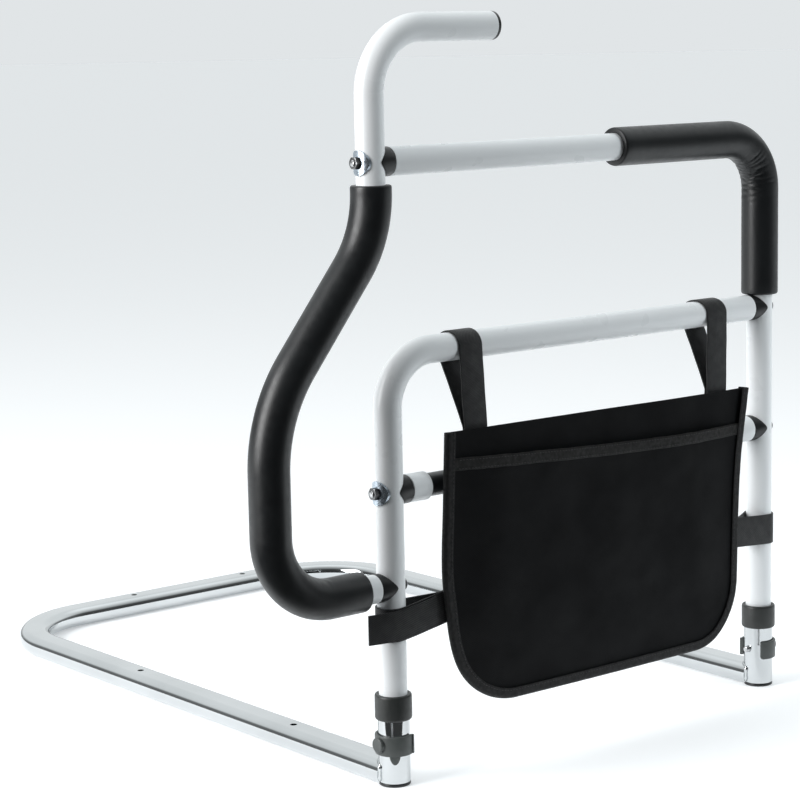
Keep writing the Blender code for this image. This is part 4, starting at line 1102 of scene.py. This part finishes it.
def follow(points, value):
    """A smooth curve through a few points, read at a value."""
    last = len(points) - 1
    index = 0
    while index < last - 1 and value > points[index + 1][0]:
        index += 1
    slopes = []
    for at in (index, index + 1):
        before, after = points[max(at - 1, 0)], points[min(at + 1, last)]
        slopes.append((after[1] - before[1]) / (after[0] - before[0]))
    (x0, y0), (x1, y1) = points[index], points[index + 1]
    span = x1 - x0
    t = min(max((value - x0) / span, 0.0), 1.0)
    curve = y0 * (1 + 2 * t) * (1 - t) ** 2 + y1 * t * t * (3 - 2 * t)
    return curve + span * (slopes[0] * t * (1 - t) ** 2 - slopes[1] * t * t * (1 - t))


def seam_distance(x, z):
    """How far a point of the cut lies in from its bound edge."""
    corner = LEFT_CORNER if x < (POUCH_LEFT + POUCH_RIGHT) / 2 else RIGHT_CORNER
    from_side = min(x - POUCH_LEFT, POUCH_RIGHT - x)
    from_bottom = z - POUCH_BOTTOM
    if from_side < corner and from_bottom < corner:
        return corner - math.hypot(corner - from_side, corner - from_bottom)
    return min(from_side, from_bottom)


def hang(x, z):
    """Where a point of the cut hangs, seen from the front."""
    share = (x - POUCH_LEFT) / POUCH_WIDTH
    lean = (1 - share) * follow(LEFT_LEAN, z) + share * follow(RIGHT_LEAN, z)
    top_droop = 2.0 * smooth(share) * smooth((z - 200) / 112)
    belly = -1.2 * math.sin(math.pi * min(max(share, 0.0), 1.0)) * smooth((160 - z) / 100)
    return x + lean, z - top_droop + belly


def panel_depth(x, z):
    """How far the back panel stands in front of its plane, in slow waves that die at the seams."""
    free = smooth(seam_distance(x, z) / 45)
    return free * (0.9 + 0.9 * lumps(x / 95, z / 70, 7.0))


def pocket_depth(x, z):
    """How far the pocket swells from its flat, bound edge."""
    free = smooth((seam_distance(x, z) - 9) / 62)
    wrinkle = lumps(x / 60, z / 42, 1.0) + 0.4 * lumps(x / 24, z / 17, 5.0)
    return panel_depth(x, z) + free * (4.4 + 1.1 * wrinkle)


# %% Cloth grids
def pouch_cloth(name, columns, rows, inset, top, depth):
    """A grid of cloth over the cut, with its rows drawn together round the lower corners."""
    bm = bmesh.new()
    bmesh.ops.create_grid(bm, x_segments=columns, y_segments=rows, size=0.5)
    bottom = POUCH_BOTTOM + inset
    full = POUCH_TOP - bottom
    curved = 0.4
    corner, right_corner = LEFT_CORNER - inset, RIGHT_CORNER - inset
    sides = ((POUCH_LEFT + inset, corner, 1), (POUCH_RIGHT - inset, right_corner, -1))
    for vert in bm.verts:
        across, up = vert.co.x + 0.5, vert.co.y + 0.5
        if up < curved:
            rise = corner * (1 - math.cos(QUARTER * up / curved))
        else:
            rise = corner + (full - corner) * (up - curved) / (1 - curved)
        ends = []
        for side, radius, toward in sides:
            low = max(radius - rise, 0.0)
            ends.append(side + toward * (radius - math.sqrt(radius * radius - low * low)))
        x = ends[0] + (ends[1] - ends[0]) * across
        z = bottom + rise
        z += (top(x) - POUCH_TOP) * (rise / full) ** 1.5
        hung_x, hung_z = hang(x, z)
        vert.co = (hung_x, POUCH_BACK - depth(x, z), hung_z)
    return block(name, bm)


PANEL_THICKNESS = 1.4
POCKET_THICKNESS = 1.1
POCKET_STEP = 2.5
SEAM_INSET = 1.4

panel = pouch_cloth(
    "pouch_back_panel_cloth", 110, 80, SEAM_INSET, lambda x: POUCH_TOP,
    lambda x, z: 0.3 + PANEL_THICKNESS / 2 + panel_depth(x, z),
)
thicken(panel, PANEL_THICKNESS, 0.0)
present(panel, cloth, crease=60)

pocket = pouch_cloth(
    "pouch_front_pocket_cloth", 150, 110, SEAM_INSET, lambda x: follow(MOUTH, x) - 0.9,
    lambda x, z: POCKET_STEP + POCKET_THICKNESS / 2 + pocket_depth(x, z),
)
thicken(pocket, POCKET_THICKNESS, 0.0)
present(pocket, cloth, crease=60)

# %% [markdown]
# A ribbed tape is folded over the raw edges from the top of one side round to the top of the other.
# Its section is a narrow U, swept along the cut's outline after that outline has been hung.

# %% Binding tape
BAND = 8.6
FOLD_RADIUS = 3.3
BAND_MIDDLE = POUCH_BACK - 2.0


def pouch_outline(inset):
    """Points of the hung outline, a distance in from the cut's edge."""
    route = run(
        place_at((POUCH_LEFT + inset, 0, POUCH_TOP), (0, 0, -1), (-1, 0, 0)),
        (POUCH_HEIGHT - LEFT_CORNER, 44),
        (LEFT_CORNER - inset, -QUARTER, 36),
        (POUCH_WIDTH - LEFT_CORNER - RIGHT_CORNER, 60),
        (RIGHT_CORNER - inset, -QUARTER, 32),
        (POUCH_HEIGHT - RIGHT_CORNER, 50),
    )
    return [hang(place.translation.x, place.translation.z) for place in route]


def half_round(radius, centre, steps):
    """Points of a half circle that bulges toward X, from its front to its back."""
    turns = [math.pi * (step / steps - 0.5) for step in range(steps + 1)]
    return [(centre + radius * math.cos(turn), radius * math.sin(turn)) for turn in turns]


def band_section(bm, place):
    outer = half_round(FOLD_RADIUS, -1.9, 10)
    inner = half_round(FOLD_RADIUS - 0.9, -1.9, 10)
    front = [(-BAND, -2.9), (-BAND + 0.2, -3.3), (-BAND / 2, -3.25)]
    back = [(-BAND / 2, 3.25), (-BAND + 0.2, 3.0), (-BAND, 2.5)]
    lining = [(-BAND, 2.1), (-BAND / 2, 2.4)]
    front_lining = [(-BAND / 2, -2.4), (-BAND, -2.3)]
    return drawn_section(bm, place, front + outer + back + lining + inner[::-1] + front_lining)


edge_route = route_through([(x, BAND_MIDDLE, z) for x, z in pouch_outline(0.0)], (0, 1, 0))
bm, rings = bar(band_section, edge_route)
for distance, place, verts in rings:
    swell = 0.25 + 0.25 * lumps(distance / 9, 0, 0)
    for vert in verts:
        if vert.co.y < BAND_MIDDLE:
            vert.co.y -= swell
binding = block("pouch_binding_tape", bm)
present(binding, tape, crease=60)

# %% [markdown]
# A lighter tape is folded over the pocket's mouth. Thread pulls it into small puckers, so its face
# rises and falls and its edges wander slightly.

# %% Hem of the pocket's mouth
HEM_HEIGHT = 10.8
HEM_BACK = 8.0
HEM_OUTSIDE = 1.4
HEM_INSIDE = 0.7
HEM_STEPS = 240
hem_left, hem_right = POUCH_LEFT + 7.5, POUCH_RIGHT - 7.5


def pocket_middle(x, z):
    """The depth of the middle of the pocket's cloth."""
    return POUCH_BACK - POCKET_STEP - POCKET_THICKNESS / 2 - pocket_depth(x, z)


def hem_section(bm, place):
    front = [(-HEM_HEIGHT + 0.2 + (HEM_HEIGHT - 1.2) * step / 10, -HEM_OUTSIDE) for step in range(10)]
    back = [(-HEM_BACK / 2, HEM_OUTSIDE), (-HEM_BACK, HEM_OUTSIDE - 0.2), (-HEM_BACK, HEM_INSIDE)]
    fold = half_round(HEM_OUTSIDE, -1.0, 8)
    lining = half_round(HEM_INSIDE, -1.0, 8)[::-1]
    edge = [(-HEM_HEIGHT, -HEM_INSIDE), (-HEM_HEIGHT, -HEM_OUTSIDE + 0.2)]
    return drawn_section(bm, place, front + fold + back + lining + edge)


def mouth_line(below, out):
    """Points along the mouth, from right to left, a height below it and out from its cloth."""
    points = []
    for step in range(HEM_STEPS + 1):
        x = hem_right + (hem_left - hem_right) * step / HEM_STEPS
        z = follow(MOUTH, x) - below
        hung_x, hung_z = hang(x, z)
        points.append((hung_x, pocket_middle(x, z) - out, hung_z))
    return points


bm, rings = bar(hem_section, route_through(mouth_line(0.0, 0.0), (0, 1, 0)))
for step, (distance, place, verts) in enumerate(rings):
    x = hem_right + (hem_left - hem_right) * step / HEM_STEPS
    mouth = follow(MOUTH, x)
    back = place.inverted()
    wander = 0.5 * lumps(x / 13, 0, 2.0)
    for vert in verts:
        local = back @ vert.co
        below = max(-local.x, 0.0)
        pucker = lumps(x / 5.5, below / 14, 9.0) + 0.5 * lumps(x / 2.4, below / 5, 4.0)
        shape = math.sin(math.pi * min(below / HEM_HEIGHT, 1.0))
        vert.co.y += pocket_middle(x, mouth - below) - pocket_middle(x, mouth)
        if local.y < -HEM_INSIDE - 0.1:
            vert.co.y -= (0.1 + 0.45 * pucker) * shape
        vert.co.z += wander
hem = block("pouch_hem_tape", bm)
present(hem, hem_tape, crease=60, extra=True)

# %% [markdown]
# Stitches hold the tapes. Each one is a stretched ball of a few faces, set along a line of points
# at an even pitch.

# %% Stitches
def stitches(name, lines, length=2.6, pitch=3.5):
    """One piece of thread stitches along lines of points, given in millimetres."""
    bm = bmesh.new()
    shape = Matrix.Diagonal((0.32, 0.3, length / 2, 1))
    for points in lines:
        route = route_through(points, (0, 1, 0))
        travelled, due = 0.0, pitch / 2
        for before, after in zip(route, route[1:]):
            step = (after.translation - before.translation).length
            while due < travelled + step:
                spot = before.translation.lerp(after.translation, (due - travelled) / step)
                turn = after.to_3x3().to_4x4()
                at = Matrix.Translation(spot) @ turn @ shape
                bmesh.ops.create_icosphere(bm, subdivisions=1, radius=1.0, matrix=at)
                due += pitch
            travelled += step
    return present(block(name, bm), thread, crease=180, extra=True)


band_face = BAND_MIDDLE - FOLD_RADIUS - 0.25
seam_line = [(x, band_face - 0.1, z) for x, z in pouch_outline(6.6)]
hem_lines = [mouth_line(below, HEM_OUTSIDE + 0.15)[3:-3] for below in (1.5, HEM_HEIGHT - 1.7)]
binding_stitches = stitches("pouch_binding_stitches", [seam_line])
hem_stitches = stitches("pouch_hem_stitches", hem_lines)

# %% [markdown]


# %% [markdown]
# ## The straps
#
# Four straps of webbing hold the pouch. Each one leaves the bag, goes round its bar or post and
# comes back behind itself. Points along the free lengths are pushed a fraction of a millimetre in
# and out, and each strap leans along its legs.

# %% Strap routes
STRAP_THICKNESS = 1.5
STRAP_RADIUS = TUBE_RADIUS + GAP + STRAP_THICKNESS / 2
STRAP_LAYER = 1.8
KNEE = 5.0


def leg_turn(end_offset, drop, knee):
    """How far past its tangent a strap turns, and its free length, to end at an offset from the bar."""
    start, end = STRAP_RADIUS + knee, end_offset + knee
    free = math.sqrt(end * end + drop * drop - start * start)
    return math.atan2(drop, end) - math.atan2(free, start), free


def strap_route(bar_point, leg, front_offset, drop, sewn):
    """From the pouch, round the bar and back behind itself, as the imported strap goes."""
    leg, front = Vector(leg), Vector((0, -1, 0))
    lead_turn, lead_free = leg_turn(front_offset, drop, -KNEE)
    back_turn, back_free = leg_turn(STRAP_LAYER - front_offset, drop, KNEE)
    start = Vector(bar_point) + front * front_offset + leg * (drop + sewn)
    knee = [(KNEE, -lead_turn, 4)] if front_offset > STRAP_RADIUS else []
    around = (STRAP_RADIUS, math.pi + lead_turn + back_turn, 48)
    legs = [(sewn, 6), *knee, (lead_free, 16), around, (back_free, 16), (KNEE, -back_turn, 8), (sewn, 6)]
    return run(place_at(start, -leg, -front), *legs)


def strap(name, route, width, bar_point, leg, lean, skew=0.0, extra=False):
    """Webbing along a route, slightly wavy, that leans along its leg and sits skewed on its bar."""
    bm, rings = bar(lambda bm, at: box_section(bm, at, STRAP_THICKNESS, width, 0.6, 3), route)
    bar_point, total = Vector(bar_point), rings[-1][0]
    for distance, place, verts in rings:
        off_bar = (place.translation - bar_point).length - STRAP_RADIUS
        free = smooth(off_bar / 20) * smooth(distance / 40) * smooth((total - distance) / 40)
        for vert in verts:
            side = (place.inverted() @ vert.co).y
            push = 0.7 * free * lumps(distance / 22, side / 30, width)
            vert.co += place.to_3x3() @ Vector((push, 0, 0))
    for vert in bm.verts:
        along_leg = (vert.co - bar_point).dot(Vector(leg))
        vert.co += Vector(lean) * (along_leg + math.hypot(along_leg, 12)) / 2
        vert.co.x += skew * (vert.co.y + STRAP_RADIUS)
    made = present(block(name, bm), webbing, crease=60, extra=extra)


# %% Hanging straps and side straps
DOWN = (0, 0, -1)
HANGING_WIDTH = 26.5
HANGING_FRONT = 15.45
HANGING_DROP = 71.9
HANGING_SEWN = 26.0

# Side, place along the lower bar, lean of the legs and skew round the bar
HANGING_STRAPS = (("left", 84.5, 0.045, -0.13), ("right", 400.0, -0.045, -0.30))
for side, x, lean, skew in HANGING_STRAPS:
    place = (x, 0, LOWER_BAR)
    route = strap_route(place, DOWN, HANGING_FRONT, HANGING_DROP, HANGING_SEWN)
    name = f"hanging_strap_{side}_webbing"
    strap(name, route, HANGING_WIDTH, place, DOWN, (lean, 0, 0), skew)

SIDE_WIDTH = 30.0
SIDE_SEWN = 24.0
LEFT_STRAP = 146.5
LEFT_RISE = 0.17

# Side, post, way to the pouch, height, rise along the leg, free length and the tube it goes round
SIDE_STRAPS = (
    ("left", 0.0, 1, LEFT_STRAP, LEFT_RISE, 46.0, "arch_tube_painted"),
    ("right", POST_SPACING, -1, 161.5, 0.08, 44.5, "right_frame_tube_painted"),
)
for side, x, toward, height, rise, drop, post in SIDE_STRAPS:
    place, leg = (x, 0, height), (toward, 0, 0)
    route = strap_route(place, leg, STRAP_RADIUS, drop, SIDE_SEWN)
    name = f"side_strap_{side}_webbing"
    strap(name, route, SIDE_WIDTH, place, leg, (0, 0, rise))

# %% [markdown]
# The left side strap is fastened back on itself in front of the post, and its end stands out past
# the post's left side as a tab to pull.

# %% Tab of the left side strap
TAB_WIDTH = 27.0
TAB_START = 38.0
folded, swing, pull = (30.0, 10), (120.0, math.radians(14), 14), (12.5, 6)
start = place_at((TAB_START, -STRAP_RADIUS - STRAP_LAYER, LEFT_STRAP), (-1, 0, 0), (0, 1, 0))
strap(
    "side_strap_left_tab", run(start, folded, swing, pull), TAB_WIDTH, (0, 0, LEFT_STRAP), (1, 0, 0),
    (0, 0, LEFT_RISE), extra=True,
)

# %% [markdown]
# ## Sizes and finish
#
# The visual model's box is compared with the imported model's box, and how far each side is off is
# printed in millimetres. The visual model has to stay in the imported model's box.

# %% Compare sizes and finish
low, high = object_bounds()
off = [round(1000 * (a - b), 1) for a, b in zip((*low, *high), (*cad_low, *cad_high))]
print("the visual box is off the packed one by", off, "mm")
